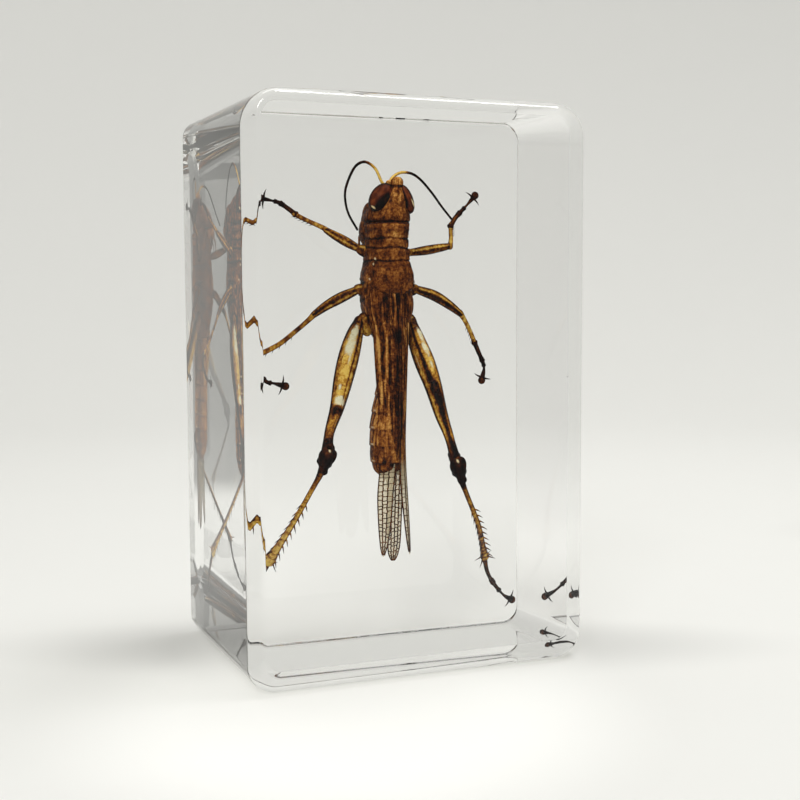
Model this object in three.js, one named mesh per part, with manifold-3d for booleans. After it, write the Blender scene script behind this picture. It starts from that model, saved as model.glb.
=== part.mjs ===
// A grasshopper set in an upright block of clear resin. Millimetres, +Z up.
// The block stands on its bottom face at Z = 0. X is its width and Y its depth,
// and the back of the grasshopper looks through the rounded front face at -Y.

import * as THREE from 'three';
import { mergeVertices } from 'three/addons/utils/BufferGeometryUtils.js';
import Module from 'manifold-3d';

const wasm = await Module();
wasm.setup();

// The block.
const blockWidth = 46.3;
const blockDepth = 34;
const blockHeight = 73;
const frontTopCorner = 5;
const frontBottomCorner = 3.7;
const backCorner = 2.4;
const frontFillet = 2;
const backBevel = 0.4;
const cornerSteps = 6;
const filletSteps = 5;
const sharpestCorner = 0.3;
const partingY = 6;

// Room that the pocket leaves around the grasshopper, and around its eyes besides.
const pocketRoom = 0.42;
const eyeRoom = 0.25;

// The grasshopper's thin parts.
const antennaRadius = 0.2;
const bladeThickness = 0.3;
const spineLength = 1.1;
const spineRadius = 0.17;
const trunkSquareness = 0.86;

const v = (x, y, z) => new THREE.Vector3(x, y, z);

// Turns a closed geometry into a solid with its faces pointing out.
function solidOf(geometry) {
  const bare = geometry.clone();
  bare.deleteAttribute('normal');
  bare.deleteAttribute('uv');
  const merged = mergeVertices(bare, 1e-4);
  const points = Float32Array.from(merged.attributes.position.array);
  const triangles = Uint32Array.from(merged.index.array);
  const corner = (i) => v(points[3 * i], points[3 * i + 1], points[3 * i + 2]);
  const kept = [];
  let volume = 0;
  for (let t = 0; t < triangles.length; t += 3) {
    const [i, j, k] = [triangles[t], triangles[t + 1], triangles[t + 2]];
    if (i === j || j === k || k === i) {
      continue;
    }
    volume += corner(i).dot(corner(j).cross(corner(k)));
    kept.push([i, j, k]);
  }
  const flipped = kept.map(([i, j, k]) => (volume < 0 ? [i, k, j] : [i, j, k]));
  const mesh = new wasm.Mesh({
    numProp: 3,
    vertProperties: points,
    triVerts: Uint32Array.from(flipped.flat()),
  });
  return new wasm.Manifold(mesh);
}

// A closed skin over a row of rings, made from a cylinder whose points are moved.
// place(ring, angle) gives the point of a ring at an angle.
function skin(around, ringCount, place) {
  const geometry = new THREE.CylinderGeometry(1, 1, 1, around, ringCount - 1);
  const position = geometry.attributes.position;
  const centres = [];
  for (let ring = 0; ring < ringCount; ring += 1) {
    const middle = v(0, 0, 0);
    for (let i = 0; i < around; i += 1) {
      middle.add(place(ring, (2 * Math.PI * i) / around));
    }
    centres.push(middle.divideScalar(around));
  }
  for (let i = 0; i < position.count; i += 1) {
    const x = position.getX(i);
    const z = position.getZ(i);
    const ring = Math.round((0.5 - position.getY(i)) * (ringCount - 1));
    const step = Math.round((Math.atan2(x, z) / (2 * Math.PI)) * around);
    const angle = (2 * Math.PI * ((step + around) % around)) / around;
    const point = Math.hypot(x, z) < 1e-6 ? centres[ring] : place(ring, angle);
    position.setXYZ(i, point.x, point.y, point.z);
  }
  return solidOf(geometry);
}

// A limb through a row of [point, radius] pairs. Its section is an ellipse, whose
// second half-width is the radius times depthScale, turned towards the Y axis.
function limb(joints, sides, grow = 0, depthScale = 1) {
  const points = joints.map(([point]) => point.clone());
  const last = points.length - 1;
  if (grow > 0) {
    const first = points[0].clone().sub(points[1]).normalize().multiplyScalar(grow);
    const final = points[last].clone().sub(points[last - 1]).normalize().multiplyScalar(grow);
    points[0].add(first);
    points[last].add(final);
  }
  const round = grow > 0 ? 1 / Math.cos(Math.PI / sides) : 1;
  return skin(sides, points.length, (ring, angle) => {
    const ahead = points[Math.min(ring + 1, last)];
    const behind = points[Math.max(ring - 1, 0)];
    const along = ahead.clone().sub(behind).normalize();
    const side = along.clone().cross(v(0, 1, 0)).normalize();
    const deep = side.clone().cross(along).normalize();
    const radius = joints[ring][1];
    const wide = (radius + grow) * round * Math.cos(angle);
    const tall = (radius * depthScale + grow) * round * Math.sin(angle);
    return points[ring].clone().addScaledVector(side, wide).addScaledVector(deep, tall);
  });
}

// Fewer, larger sections that hold every section of a trunk, for the pocket.
function roomySections(sections, step) {
  const last = sections.length - 1;
  const picks = [];
  for (let i = 0; i < last; i += step) {
    picks.push(i);
  }
  picks.push(last);
  return picks.map((pick) => {
    const near = sections.slice(Math.max(0, pick - step), pick + step + 1);
    const left = Math.min(...near.map(([, x, , halfWidth]) => x - halfWidth));
    const right = Math.max(...near.map(([, x, , halfWidth]) => x + halfWidth));
    const front = Math.min(...near.map(([, , y, , halfDepth]) => y - halfDepth));
    const back = Math.max(...near.map(([, , y, , halfDepth]) => y + halfDepth));
    const middle = [(left + right) / 2, (front + back) / 2];
    return [sections[pick][0], ...middle, (right - left) / 2, (back - front) / 2];
  });
}

// A trunk of upright sections [z, centreX, centreY, halfWidth, halfDepth], whose
// outline is an ellipse made a little squarer.
function trunk(sections, sides, grow = 0) {
  const rows = grow > 0 ? roomySections(sections, 3) : sections;
  const round = grow > 0 ? 1 / Math.cos(Math.PI / sides) : 1;
  const last = rows.length - 1;
  const square = (value) => Math.sign(value) * Math.abs(value) ** trunkSquareness;
  return skin(sides, rows.length, (ring, angle) => {
    const [z, x, y, halfWidth, halfDepth] = rows[ring];
    const lift = ring === 0 ? grow : ring === last ? -grow : 0;
    return v(
      x + (halfWidth + grow) * round * square(Math.cos(angle)),
      y + (halfDepth + grow) * round * square(Math.sin(angle)),
      z + lift,
    );
  });
}

// A spine that leans towards the end of its leg.
function spine(foot, direction) {
  const cone = new THREE.ConeGeometry(spineRadius, spineLength, 4);
  cone.translate(0, spineLength / 2, 0);
  const turn = new THREE.Quaternion().setFromUnitVectors(v(0, 1, 0), direction.clone().normalize());
  cone.applyQuaternion(turn);
  cone.translate(foot.x, foot.y, foot.z);
  return solidOf(cone);
}

// Head, saddle of the thorax, thorax and abdomen, as upright sections.
const headSections = [
  [64.1, 1.3, 4.6, 0.45, 0.6],
  [63.5, 1.2, 5.0, 1.1, 1.5],
  [62.6, 1.05, 5.8, 1.8, 2.9],
  [61.2, 0.8, 6.9, 2.4, 4.3],
  [59.6, 0.5, 7.8, 2.8, 5.2],
  [58.2, 0.3, 8.1, 3.0, 5.4],
  [57.2, 0.3, 7.9, 2.85, 5.0],
  [56.6, 0.4, 7.5, 2.4, 4.3],
];
const saddleSections = [
  [57.6, 0.45, 6.9, 2.5, 4.3],
  [57.2, 0.4, 7.0, 2.85, 4.7],
  [56.0, 0.4, 7.0, 2.9, 4.8],
  [55.75, 0.4, 7.0, 2.74, 4.62],
  [55.5, 0.4, 7.0, 2.9, 4.8],
  [54.8, 0.4, 7.0, 2.9, 4.8],
  [54.55, 0.4, 7.0, 2.74, 4.62],
  [54.3, 0.4, 7.0, 2.92, 4.8],
  [53.2, 0.45, 7.0, 3.05, 4.85],
  [52.95, 0.45, 7.0, 2.89, 4.67],
  [52.7, 0.5, 7.0, 3.15, 4.9],
  [51.2, 0.5, 6.9, 3.3, 4.9],
  [50.0, 0.5, 6.9, 3.3, 4.8],
  [49.4, 0.5, 6.9, 2.9, 4.1],
];
const thoraxSections = [
  [53.4, 0.5, 7.6, 2.3, 4.2],
  [51.0, 0.45, 7.6, 2.95, 4.8],
  [48.8, 0.45, 7.3, 3.35, 4.9],
  [47.0, 0.5, 7.0, 3.5, 4.8],
  [45.0, 0.5, 6.6, 3.1, 4.3],
  [43.0, 0.5, 6.2, 2.3, 3.6],
  [41.2, 0.5, 5.9, 1.8, 3.0],
];
const abdomenTop = 43.5;
const abdomenTip = 23.6;
const abdomenRings = 8;
const wingSections = [
  [49.9, 0.6, 3.9, 2.4, 1.3],
  [48.0, 0.55, 3.9, 3.1, 1.7],
  [45.0, 0.5, 3.9, 2.9, 2.1],
  [42.5, 0.5, 3.9, 2.35, 2.2],
  [39.0, 0.45, 4.0, 1.9, 2.2],
  [35.0, 0.35, 4.1, 1.8, 2.1],
  [30.0, 0.3, 4.1, 1.8, 1.9],
  [26.0, 0.4, 4.1, 1.8, 1.5],
  [23.2, 0.5, 4.0, 1.7, 1.0],
  [22.0, 0.6, 4.0, 1.3, 0.5],
];

// Wing tips: left, middle and right blades of the folded wings.
const leftBlade = [
  [v(-0.6, 3.9, 25), 1.0],
  [v(-0.8, 3.9, 21), 1.0],
  [v(-0.9, 3.8, 17), 0.75],
  [v(-1.0, 3.7, 14.3), 0.5],
  [v(-1.1, 3.6, 13.1), 0.12],
];
const middleBlade = [
  [v(0.7, 4.0, 25), 1.1],
  [v(0.6, 4.0, 20), 1.1],
  [v(0.5, 3.9, 16), 0.95],
  [v(0.4, 3.8, 13.6), 0.7],
  [v(0.2, 3.8, 12.5), 0.15],
];
const rightBlade = [
  [v(1.9, 4.2, 25), 0.9],
  [v(2.1, 4.2, 21), 0.7],
  [v(2.5, 4.2, 17), 0.5],
  [v(2.9, 4.2, 13.1), 0.12],
];

function abdomenSections() {
  const sections = [];
  const ringLength = (abdomenTop - abdomenTip) / abdomenRings;
  for (let i = 0; i <= abdomenRings; i += 1) {
    const t = i / abdomenRings;
    const z = abdomenTop - i * ringLength;
    const swell = Math.sin(Math.PI * Math.min(1, 0.1 + 0.7 * t));
    const x = 0.55 - 0.55 * Math.sin(Math.PI * t);
    const halfWidth = i === abdomenRings ? 1.1 : 1.35 + 0.3 * t + 0.75 * swell;
    const halfDepth = i === abdomenRings ? 1.3 : 2.2 + 0.8 * swell;
    const y = 6.0 - 0.9 * t;
    sections.push([z, x, y, halfWidth, halfDepth]);
    if (i < abdomenRings) {
      sections.push([z - 0.82 * ringLength, x, y, halfWidth + 0.12, halfDepth + 0.12]);
    }
  }
  return sections;
}

// Antennae, from the brow outward.
const leftAntenna = [
  v(0.3, 4.6, 62.6), v(-0.6, 5.0, 63.4), v(-1.4, 5.6, 65.2), v(-2.6, 6.1, 66.1),
  v(-3.7, 6.4, 65.8), v(-4.5, 6.7, 64.7), v(-5.2, 7.3, 62.6), v(-5.1, 7.9, 60.9),
  v(-4.5, 8.4, 59.2), v(-3.2, 9.0, 57.3),
];
const rightAntenna = [
  v(0.9, 4.7, 62.6), v(0.6, 5.0, 63.7), v(1.3, 5.6, 64.4), v(2.5, 6.1, 64.9),
  v(4.1, 6.7, 64.8), v(5.6, 7.3, 64.0), v(7.4, 7.9, 62.3), v(8.9, 8.4, 60.6),
  v(10.5, 9.0, 59.0),
];

// Legs: rows of [joint, radius]. Each leg is a few limbs that meet at the joints.
const foreLeft = [
  [[v(0.2, 7.6, 53.6), 1.2], [v(-2.6, 8.2, 54.5), 0.85], [v(-3.1, 8.5, 54.7), 0.6]],
  [[v(-2.7, 8.2, 54.5), 0.5], [v(-4.6, 9.4, 55.6), 0.72], [v(-7.1, 11.2, 57.2), 0.5]],
  [[v(-6.8, 11.0, 57.0), 0.5], [v(-7.6, 11.4, 57.6), 0.4], [v(-11.4, 12.3, 59.4), 0.42]],
  [[v(-11.1, 12.3, 59.3), 0.42], [v(-12.2, 12.4, 60.1), 0.36], [v(-13.3, 12.5, 60.8), 0.4],
    [v(-14.5, 12.5, 61.1), 0.3], [v(-15.8, 12.5, 61.3), 0.38]],
];
const foreRight = [
  [[v(1.2, 7.6, 53.4), 1.2], [v(3.4, 8.2, 54.1), 0.8], [v(4.2, 8.5, 54.3), 0.6]],
  [[v(3.7, 8.3, 54.2), 0.5], [v(6.8, 9.8, 54.6), 0.72], [v(11.0, 11.3, 55.3), 0.5]],
  [[v(10.9, 11.2, 55.1), 0.5], [v(11.15, 11.4, 56.2), 0.42], [v(11.3, 12.0, 58.3), 0.45]],
  [[v(11.2, 11.9, 58.0), 0.42], [v(12.0, 12.2, 59.2), 0.38], [v(12.9, 12.4, 60.1), 0.4],
    [v(14.0, 12.5, 61.2), 0.3], [v(15.2, 12.5, 62.6), 0.55]],
];
const midLeft = [
  [[v(0, 7.8, 48.6), 1.2], [v(-3.0, 8.0, 49.2), 0.9], [v(-3.7, 8.2, 49.1), 0.6]],
  [[v(-3.2, 8.0, 49.2), 0.6], [v(-5.6, 8.6, 48.2), 0.82], [v(-9.3, 9.5, 45.9), 0.5]],
  [[v(-9.0, 9.4, 46.2), 0.55], [v(-10.2, 9.8, 45.0), 0.42], [v(-14.0, 11.0, 41.9), 0.42],
    [v(-17.0, 11.5, 40.4), 0.45]],
  [[v(-16.9, 11.5, 40.7), 0.4], [v(-17.0, 11.5, 38.8), 0.34], [v(-15.8, 11.0, 37.1), 0.34],
    [v(-13.3, 10.5, 36.4), 0.5]],
];
const midRight = [
  [[v(1.4, 7.8, 48.6), 1.2], [v(4.4, 8.0, 49.2), 0.9], [v(5.2, 8.2, 49.2), 0.6]],
  [[v(4.8, 8.0, 49.3), 0.6], [v(7.8, 8.6, 48.4), 0.82], [v(12.1, 9.5, 45.8), 0.5]],
  [[v(11.9, 9.4, 46.1), 0.55], [v(12.8, 9.8, 44.9), 0.42], [v(14.7, 11.0, 41.6), 0.42]],
  [[v(14.6, 10.9, 41.9), 0.4], [v(15.6, 11.0, 39.6), 0.36], [v(16.1, 11.0, 38.2), 0.34],
    [v(15.5, 10.5, 36.4), 0.5]],
];
const hindLeft = [
  [[v(0.2, 7.6, 44.9), 1.4], [v(-2.4, 7.2, 45.2), 1.2], [v(-3.4, 6.6, 44.4), 0.9]],
  [[v(-3.5, 6.9, 45.0), 0.8], [v(-4.5, 5.9, 42.8), 1.2], [v(-5.6, 4.4, 40.3), 1.42],
    [v(-6.8, 2.6, 37.4), 1.35], [v(-8.2, 0.3, 33.9), 0.95], [v(-9.8, -2.1, 31.0), 0.66],
    [v(-10.5, -3.8, 28.8), 0.8], [v(-10.9, -4.5, 27.4), 1.1], [v(-11.4, -4.4, 26.2), 0.6]],
  [[v(-11.0, -4.6, 27.0), 0.6], [v(-12.0, -4.0, 24.9), 0.4], [v(-13.9, 2.0, 19.0), 0.42],
    [v(-15.4, 6.4, 15.2), 0.62], [v(-16.2, 8.4, 13.2), 0.95]],
  [[v(-16.0, 8.2, 13.6), 0.5], [v(-16.9, 9.1, 11.6), 0.38], [v(-17.9, 9.4, 9.8), 0.36],
    [v(-18.2, 9.6, 7.9), 0.45]],
];
const hindRight = [
  [[v(1.2, 7.6, 44.9), 1.4], [v(3.4, 7.2, 45.0), 1.2], [v(4.1, 6.6, 43.9), 0.9]],
  [[v(3.9, 6.9, 44.9), 0.8], [v(4.5, 5.8, 42.2), 1.3], [v(5.2, 4.2, 39.4), 1.45],
    [v(5.9, 2.4, 36.3), 1.25], [v(6.4, -0.2, 32.4), 0.9], [v(6.9, -2.3, 29.6), 0.62],
    [v(7.3, -3.8, 26.9), 0.75], [v(7.7, -4.6, 25.0), 1.05], [v(8.1, -4.5, 23.6), 0.65]],
  [[v(7.8, -4.6, 24.4), 0.6], [v(8.8, -4.0, 22.2), 0.4], [v(12.3, 1.6, 17.0), 0.42],
    [v(14.5, 6.4, 13.0), 0.52], [v(15.3, 8.2, 11.3), 0.76]],
  [[v(15.1, 8.0, 11.6), 0.45], [v(15.9, 8.8, 9.0), 0.36], [v(17.2, 9.5, 7.0), 0.42],
    [v(18.9, 10.4, 5.1), 0.3], [v(20.4, 11.0, 4.3), 0.55]],
];
const slimLegs = [foreLeft, foreRight, midLeft, midRight];
const hindLegs = [hindLeft, hindRight];
const thighIndex = 1;
const thighDepth = 1.25;
const shinIndex = 2;
const spineStations = 6;
const spineReach = 0.75 * spineLength;

// Compound eyes: centre and half-widths along X, Y and Z.
const eyes = [
  [v(-1.35, 4.7, 61.5), [1.35, 1.7, 1.75], 0.25],
  [v(2.85, 4.9, 61.3), [1.2, 1.7, 1.7], -0.25],
];

function eyeOf(centre, halves, lean, grow) {
  const ball = grow > 0 ? new THREE.SphereGeometry(1, 7, 5) : new THREE.SphereGeometry(1, 12, 8);
  const room = grow > 0 ? grow + eyeRoom : 0;
  ball.scale(halves[0] + room, halves[1] + room, halves[2] + room);
  ball.rotateY(lean);
  ball.translate(centre.x, centre.y, centre.z);
  return solidOf(ball);
}

// Two rows of spines down the lower part of a hind shin.
function shinSpines(shin) {
  const rows = [];
  const curve = new THREE.CatmullRomCurve3(shin.map(([point]) => point));
  for (let i = 0; i < spineStations; i += 1) {
    const t = 0.45 + (0.5 * i) / (spineStations - 1);
    const foot = curve.getPointAt(t);
    const along = curve.getTangentAt(t);
    const side = along.clone().cross(v(0, 1, 0)).normalize();
    for (const hand of [-1, 1]) {
      rows.push(spine(foot, side.clone().multiplyScalar(hand).addScaledVector(along, 0.7)));
    }
  }
  return rows;
}

// The whole grasshopper. With grow above zero it is the coarser, larger pocket shape.
function specimen(grow) {
  const isPocket = grow > 0;
  const trunkSides = isPocket ? 10 : 16;
  const legSides = isPocket ? 5 : 6;
  const bladeSides = isPocket ? 5 : 8;
  const antennaSides = isPocket ? 4 : 5;
  const pieces = [
    trunk(headSections, trunkSides, grow),
    trunk(saddleSections, trunkSides, grow),
    trunk(thoraxSections, trunkSides, grow),
    trunk(abdomenSections(), trunkSides, grow),
    trunk(wingSections, trunkSides, grow),
  ];
  for (const blade of [leftBlade, middleBlade, rightBlade]) {
    pieces.push(limb(blade, bladeSides, grow, bladeThickness));
  }
  for (const [centre, halves, lean] of eyes) {
    pieces.push(eyeOf(centre, halves, lean, grow));
  }
  for (const antenna of [leftAntenna, rightAntenna]) {
    pieces.push(limb(antenna.map((point) => [point, antennaRadius]), antennaSides, grow));
  }
  for (const leg of slimLegs) {
    for (const piece of leg) {
      pieces.push(limb(piece, legSides, grow));
    }
  }
  for (const leg of hindLegs) {
    leg.forEach((piece, index) => {
      const reach = isPocket && index === shinIndex ? grow + spineReach : grow;
      const depthScale = index === thighIndex ? thighDepth : 1;
      pieces.push(limb(piece, legSides, reach, depthScale));
    });
    if (!isPocket) {
      pieces.push(...shinSpines(leg[shinIndex]));
    }
  }
  return pieces.reduce((whole, piece) => whole.add(piece));
}

// One ring of the block's outline, drawn in by an inset, at a depth y.
function blockRing(y, inset, topCorner, bottomCorner) {
  const halfWidth = blockWidth / 2 - inset;
  const bottom = inset;
  const top = blockHeight - inset;
  const topRadius = Math.max(topCorner - inset, sharpestCorner);
  const bottomRadius = Math.max(bottomCorner - inset, sharpestCorner);
  const shape = new THREE.Shape();
  shape.moveTo(halfWidth, bottom + bottomRadius);
  shape.lineTo(halfWidth, top - topRadius);
  shape.absarc(halfWidth - topRadius, top - topRadius, topRadius, 0, Math.PI / 2);
  shape.lineTo(-halfWidth + topRadius, top);
  shape.absarc(-halfWidth + topRadius, top - topRadius, topRadius, Math.PI / 2, Math.PI);
  shape.lineTo(-halfWidth, bottom + bottomRadius);
  shape.absarc(-halfWidth + bottomRadius, bottom + bottomRadius, bottomRadius, Math.PI, 1.5 * Math.PI);
  shape.lineTo(halfWidth - bottomRadius, bottom);
  shape.absarc(halfWidth - bottomRadius, bottom + bottomRadius, bottomRadius, 1.5 * Math.PI, 2 * Math.PI);
  return shape.getPoints(cornerSteps).map((point) => v(point.x, y, point.y));
}

// The block: rings from the front face over its fillet to the bevelled back.
function block() {
  const rings = [];
  const front = -blockDepth / 2;
  const back = blockDepth / 2;
  for (let i = 0; i <= filletSteps; i += 1) {
    const turn = (Math.PI / 2) * (i / filletSteps);
    const inset = frontFillet * (1 - Math.sin(turn));
    const y = front + frontFillet * (1 - Math.cos(turn));
    rings.push(blockRing(y, inset, frontTopCorner, frontBottomCorner));
  }
  rings.push(blockRing(back - backBevel, 0, backCorner, backCorner));
  rings.push(blockRing(back, backBevel, backCorner, backCorner));
  const isNew = (point, i, ring) => i === 0 || point.distanceTo(ring[i - 1]) > 1e-6;
  const loops = rings.map((ring) => ring.filter(isNew));
  for (const loop of loops) {
    if (loop[0].distanceTo(loop[loop.length - 1]) < 1e-6) {
      loop.pop();
    }
  }
  const around = loops[0].length;
  return skin(around, loops.length, (ring, angle) => {
    const index = Math.round((angle / (2 * Math.PI)) * around) % around;
    return loops[ring][index].clone();
  });
}

// A solid as a named mesh.
function meshOf(name, solid, material) {
  const found = solid.getMesh();
  const geometry = new THREE.BufferGeometry();
  geometry.setAttribute('position', new THREE.BufferAttribute(Float32Array.from(found.vertProperties), 3));
  geometry.setIndex(new THREE.BufferAttribute(Uint32Array.from(found.triVerts), 1));
  geometry.computeVertexNormals();
  const mesh = new THREE.Mesh(geometry, material);
  mesh.name = name;
  return mesh;
}

const clearResin = () => new THREE.MeshStandardMaterial({
  color: 0xf2f3ef,
  roughness: 0.03,
  metalness: 0,
  transparent: true,
  opacity: 0.3,
});
const chitin = new THREE.MeshStandardMaterial({ color: 0x8a5a20, roughness: 0.35, metalness: 0 });

const grasshopper = specimen(0);
const hollowBlock = block().subtract(specimen(pocketRoom));
// The half that the plane's normal points to comes first.
const [backHalf, frontHalf] = hollowBlock.splitByPlane([0, 1, 0], partingY);

const insectBlock = new THREE.Group();
insectBlock.add(meshOf('grasshopper', grasshopper, chitin));
insectBlock.add(meshOf('resin_front', frontHalf, clearResin()));
insectBlock.add(meshOf('resin_back', backHalf, clearResin()));

export default insectBlock;
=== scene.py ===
import math
import random

import bmesh
import bpy
import numpy as np
from mathutils import Matrix, Vector


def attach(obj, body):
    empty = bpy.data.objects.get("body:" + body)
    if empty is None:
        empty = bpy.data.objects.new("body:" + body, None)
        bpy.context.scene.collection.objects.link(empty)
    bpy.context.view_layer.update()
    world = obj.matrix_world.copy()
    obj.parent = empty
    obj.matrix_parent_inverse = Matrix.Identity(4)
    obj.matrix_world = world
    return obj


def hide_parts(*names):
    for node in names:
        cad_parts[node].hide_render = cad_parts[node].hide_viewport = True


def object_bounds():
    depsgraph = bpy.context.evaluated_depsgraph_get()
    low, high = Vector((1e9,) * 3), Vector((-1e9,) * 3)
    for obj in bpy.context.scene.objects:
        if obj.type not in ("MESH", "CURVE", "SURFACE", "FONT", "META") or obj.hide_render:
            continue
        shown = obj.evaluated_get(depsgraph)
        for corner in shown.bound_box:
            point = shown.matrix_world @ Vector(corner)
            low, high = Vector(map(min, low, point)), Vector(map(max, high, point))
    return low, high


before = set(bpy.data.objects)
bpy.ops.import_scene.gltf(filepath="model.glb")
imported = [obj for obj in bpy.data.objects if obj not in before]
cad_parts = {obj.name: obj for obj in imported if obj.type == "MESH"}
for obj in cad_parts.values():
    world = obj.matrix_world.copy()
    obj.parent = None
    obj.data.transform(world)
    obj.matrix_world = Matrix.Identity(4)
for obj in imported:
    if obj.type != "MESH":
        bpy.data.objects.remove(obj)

cadLow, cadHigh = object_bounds()

mm = 0.001  # every length below is in millimetres until a mesh is made
dice = random.Random(11)
half = math.pi / 2
trunkSquareness = 0.86
trunkPaintedSideShade = 0.1
thinnestLimb = 0.02
# the rounded ends of a limb: how far out and how wide, in radii
limbEnds = [(0.25, 0.97), (0.6, 0.8), (0.85, 0.53), (0.97, 0.25)]


# shapes: points, faces and two values per point, tone (0 gold, 1 black), which holds the shells' own
# marks with painted shade and highlights, and pale, which holds painted highlights on the shells and the
# thin clear part of the wings

def newShape():
    return {"points": [], "faces": [], "tone": [], "pale": []}


def addPoints(shape, points, tone, pale):
    points = np.asarray(points, float).reshape(-1, 3)
    shape["points"].extend(map(tuple, points))
    shape["tone"].extend(np.broadcast_to(np.asarray(tone, float).ravel(), (len(points),)))
    shape["pale"].extend(np.broadcast_to(np.asarray(pale, float).ravel(), (len(points),)))


def addRings(shape, rings, tone=0.0, pale=0.0, caps=True, closed=True):
    # rings is rows x around x 3, and tone and pale are one value or rows x around
    rings = np.asarray(rings, float)
    rows, around = rings.shape[:2]
    first = len(shape["points"])
    addPoints(shape, rings, tone, pale)
    last = around if closed else around - 1
    for r in range(rows - 1):
        for k in range(last):
            a = first + r * around + k
            b = first + r * around + (k + 1) % around
            shape["faces"].append((a, b, b + around, a + around))
    if caps:
        shape["faces"].append(tuple(first + k for k in reversed(range(around))))
        shape["faces"].append(tuple(first + (rows - 1) * around + k for k in range(around)))


def smoothRows(rows, perSpan):
    # a smooth curve through rows of numbers, with perSpan steps between each two
    rows = np.array(rows, float)
    ends = np.vstack([2 * rows[0] - rows[1], rows, 2 * rows[-1] - rows[-2]])
    out = []
    for i in range(1, len(ends) - 2):
        a, b, c, d = ends[i - 1:i + 3]
        for k in range(perSpan):
            t = k / perSpan
            curve = 2 * b + (c - a) * t + (2 * a - 5 * b + 4 * c - d) * t * t
            out.append(0.5 * (curve + (3 * b - a - 3 * c + d) * t ** 3))
    out.append(rows[-1])
    return np.array(out)


def bump(value, centre, width):
    return np.exp(-((value - centre) / width) ** 2)


def ramp(value, low, high):
    t = np.clip((value - low) / (high - low), 0, 1)
    return t * t * (3 - 2 * t)


def squared(value):
    # a circle's sine or cosine, drawn out towards a rounded square
    return np.sign(value) * np.abs(value) ** trunkSquareness


def gap(angle, centre):
    # the turn from centre to angle, from -pi to pi
    return (angle - centre + math.pi) % (2 * math.pi) - math.pi


# painted shade and highlight: the shells are darker along their sides, seen along the front direction,
# and lighter where they face up and forward
paintedShellShading = {
    "front": (-0.247, -0.966, 0.07),
    "upper": (-0.10, -0.74, 0.665),
    "sideFrom": 0.66,
    "sideTo": 0.2,
    "lightWidth": 0.16,
}


def paintedSideShadeAndHighlight(out, dark, light):
    # out: outward directions, any shape x 3
    facing = np.abs(out @ np.array(paintedShellShading["front"]))
    upper = out @ np.array(paintedShellShading["upper"])
    # painted shade where the surface turns away from the front direction, and a painted highlight where
    # it faces up and forward
    darker = dark * ramp(facing, paintedShellShading["sideFrom"], paintedShellShading["sideTo"])
    return darker - light * bump(upper, 1.0, paintedShellShading["lightWidth"])


def finishShape(shape, name, material):
    mesh = bpy.data.meshes.new(name)
    mesh.from_pydata([tuple(c * mm for c in p) for p in shape["points"]], [], shape["faces"])
    for key in ("tone", "pale"):
        layer = mesh.attributes.new(name=key, type="FLOAT", domain="POINT")
        layer.data.foreach_set("value", np.clip(np.array(shape[key], np.float32), 0, 1))
    work = bmesh.new()
    work.from_mesh(mesh)
    bmesh.ops.recalc_face_normals(work, faces=work.faces)
    work.to_mesh(mesh)
    work.free()
    mesh.shade_smooth()
    mesh.materials.append(material)
    piece = bpy.data.objects.new(name, mesh)
    bpy.context.collection.objects.link(piece)
    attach(piece, "root")
    return piece


def insectPiece(shape, name, material):
    piece = finishShape(shape, name, material)
    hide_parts("grasshopper")
    return piece


def turnsRound(count):
    return np.linspace(0, 2 * math.pi, count, endpoint=False)[None, :]


def ringsAlong(points, side, deep, wide, tall, angle):
    # rings round a path, wide and tall at each point of each ring
    across = side[:, None, :] * (wide * np.cos(angle))[..., None]
    return points[:, None, :] + across + deep[:, None, :] * (tall * np.sin(angle))[..., None]


def addTrunk(shape, sections, around, perSpan, relief, tone, pale=None, slant=None):
    # sections: z, middle x, middle y, half-width, half-depth; angle -90 degrees is the back
    rows = smoothRows(sections, perSpan)
    angle = turnsRound(around)
    z, x, y, wide, deep = (rows[:, i:i + 1] for i in range(5))
    rise = relief(z, angle)
    out = np.stack([np.cos(angle) + 0 * z, np.sin(angle) + 0 * z, 0 * angle + 0 * z], -1)
    # painted shade along the body's sides
    shade = paintedSideShadeAndHighlight(out, trunkPaintedSideShade, 0.0)
    taper = np.minimum(1, (wide + deep) / 4)  # the relief fades where the body is thin
    px = x + (wide + rise * taper) * squared(np.cos(angle))
    py = y + (deep + rise * taper) * squared(np.sin(angle))
    pz = z + (slant(z, angle) if slant else 0 * angle)
    paintedHighlightValues = pale(z, angle) if pale else np.zeros_like(px)
    addRings(shape, np.stack([px, py, pz], -1), tone(z, angle) + shade, paintedHighlightValues + 0 * px)


def pathFrames(points, lean=(0, 1, 0)):
    # along, side and deep directions at each point; deep leans to the given direction
    along = np.gradient(points, axis=0)
    along /= np.linalg.norm(along, axis=1, keepdims=True)
    side = np.cross(along, lean)
    side /= np.linalg.norm(side, axis=1, keepdims=True)
    deep = np.cross(side, along)
    return along, side, deep


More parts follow.
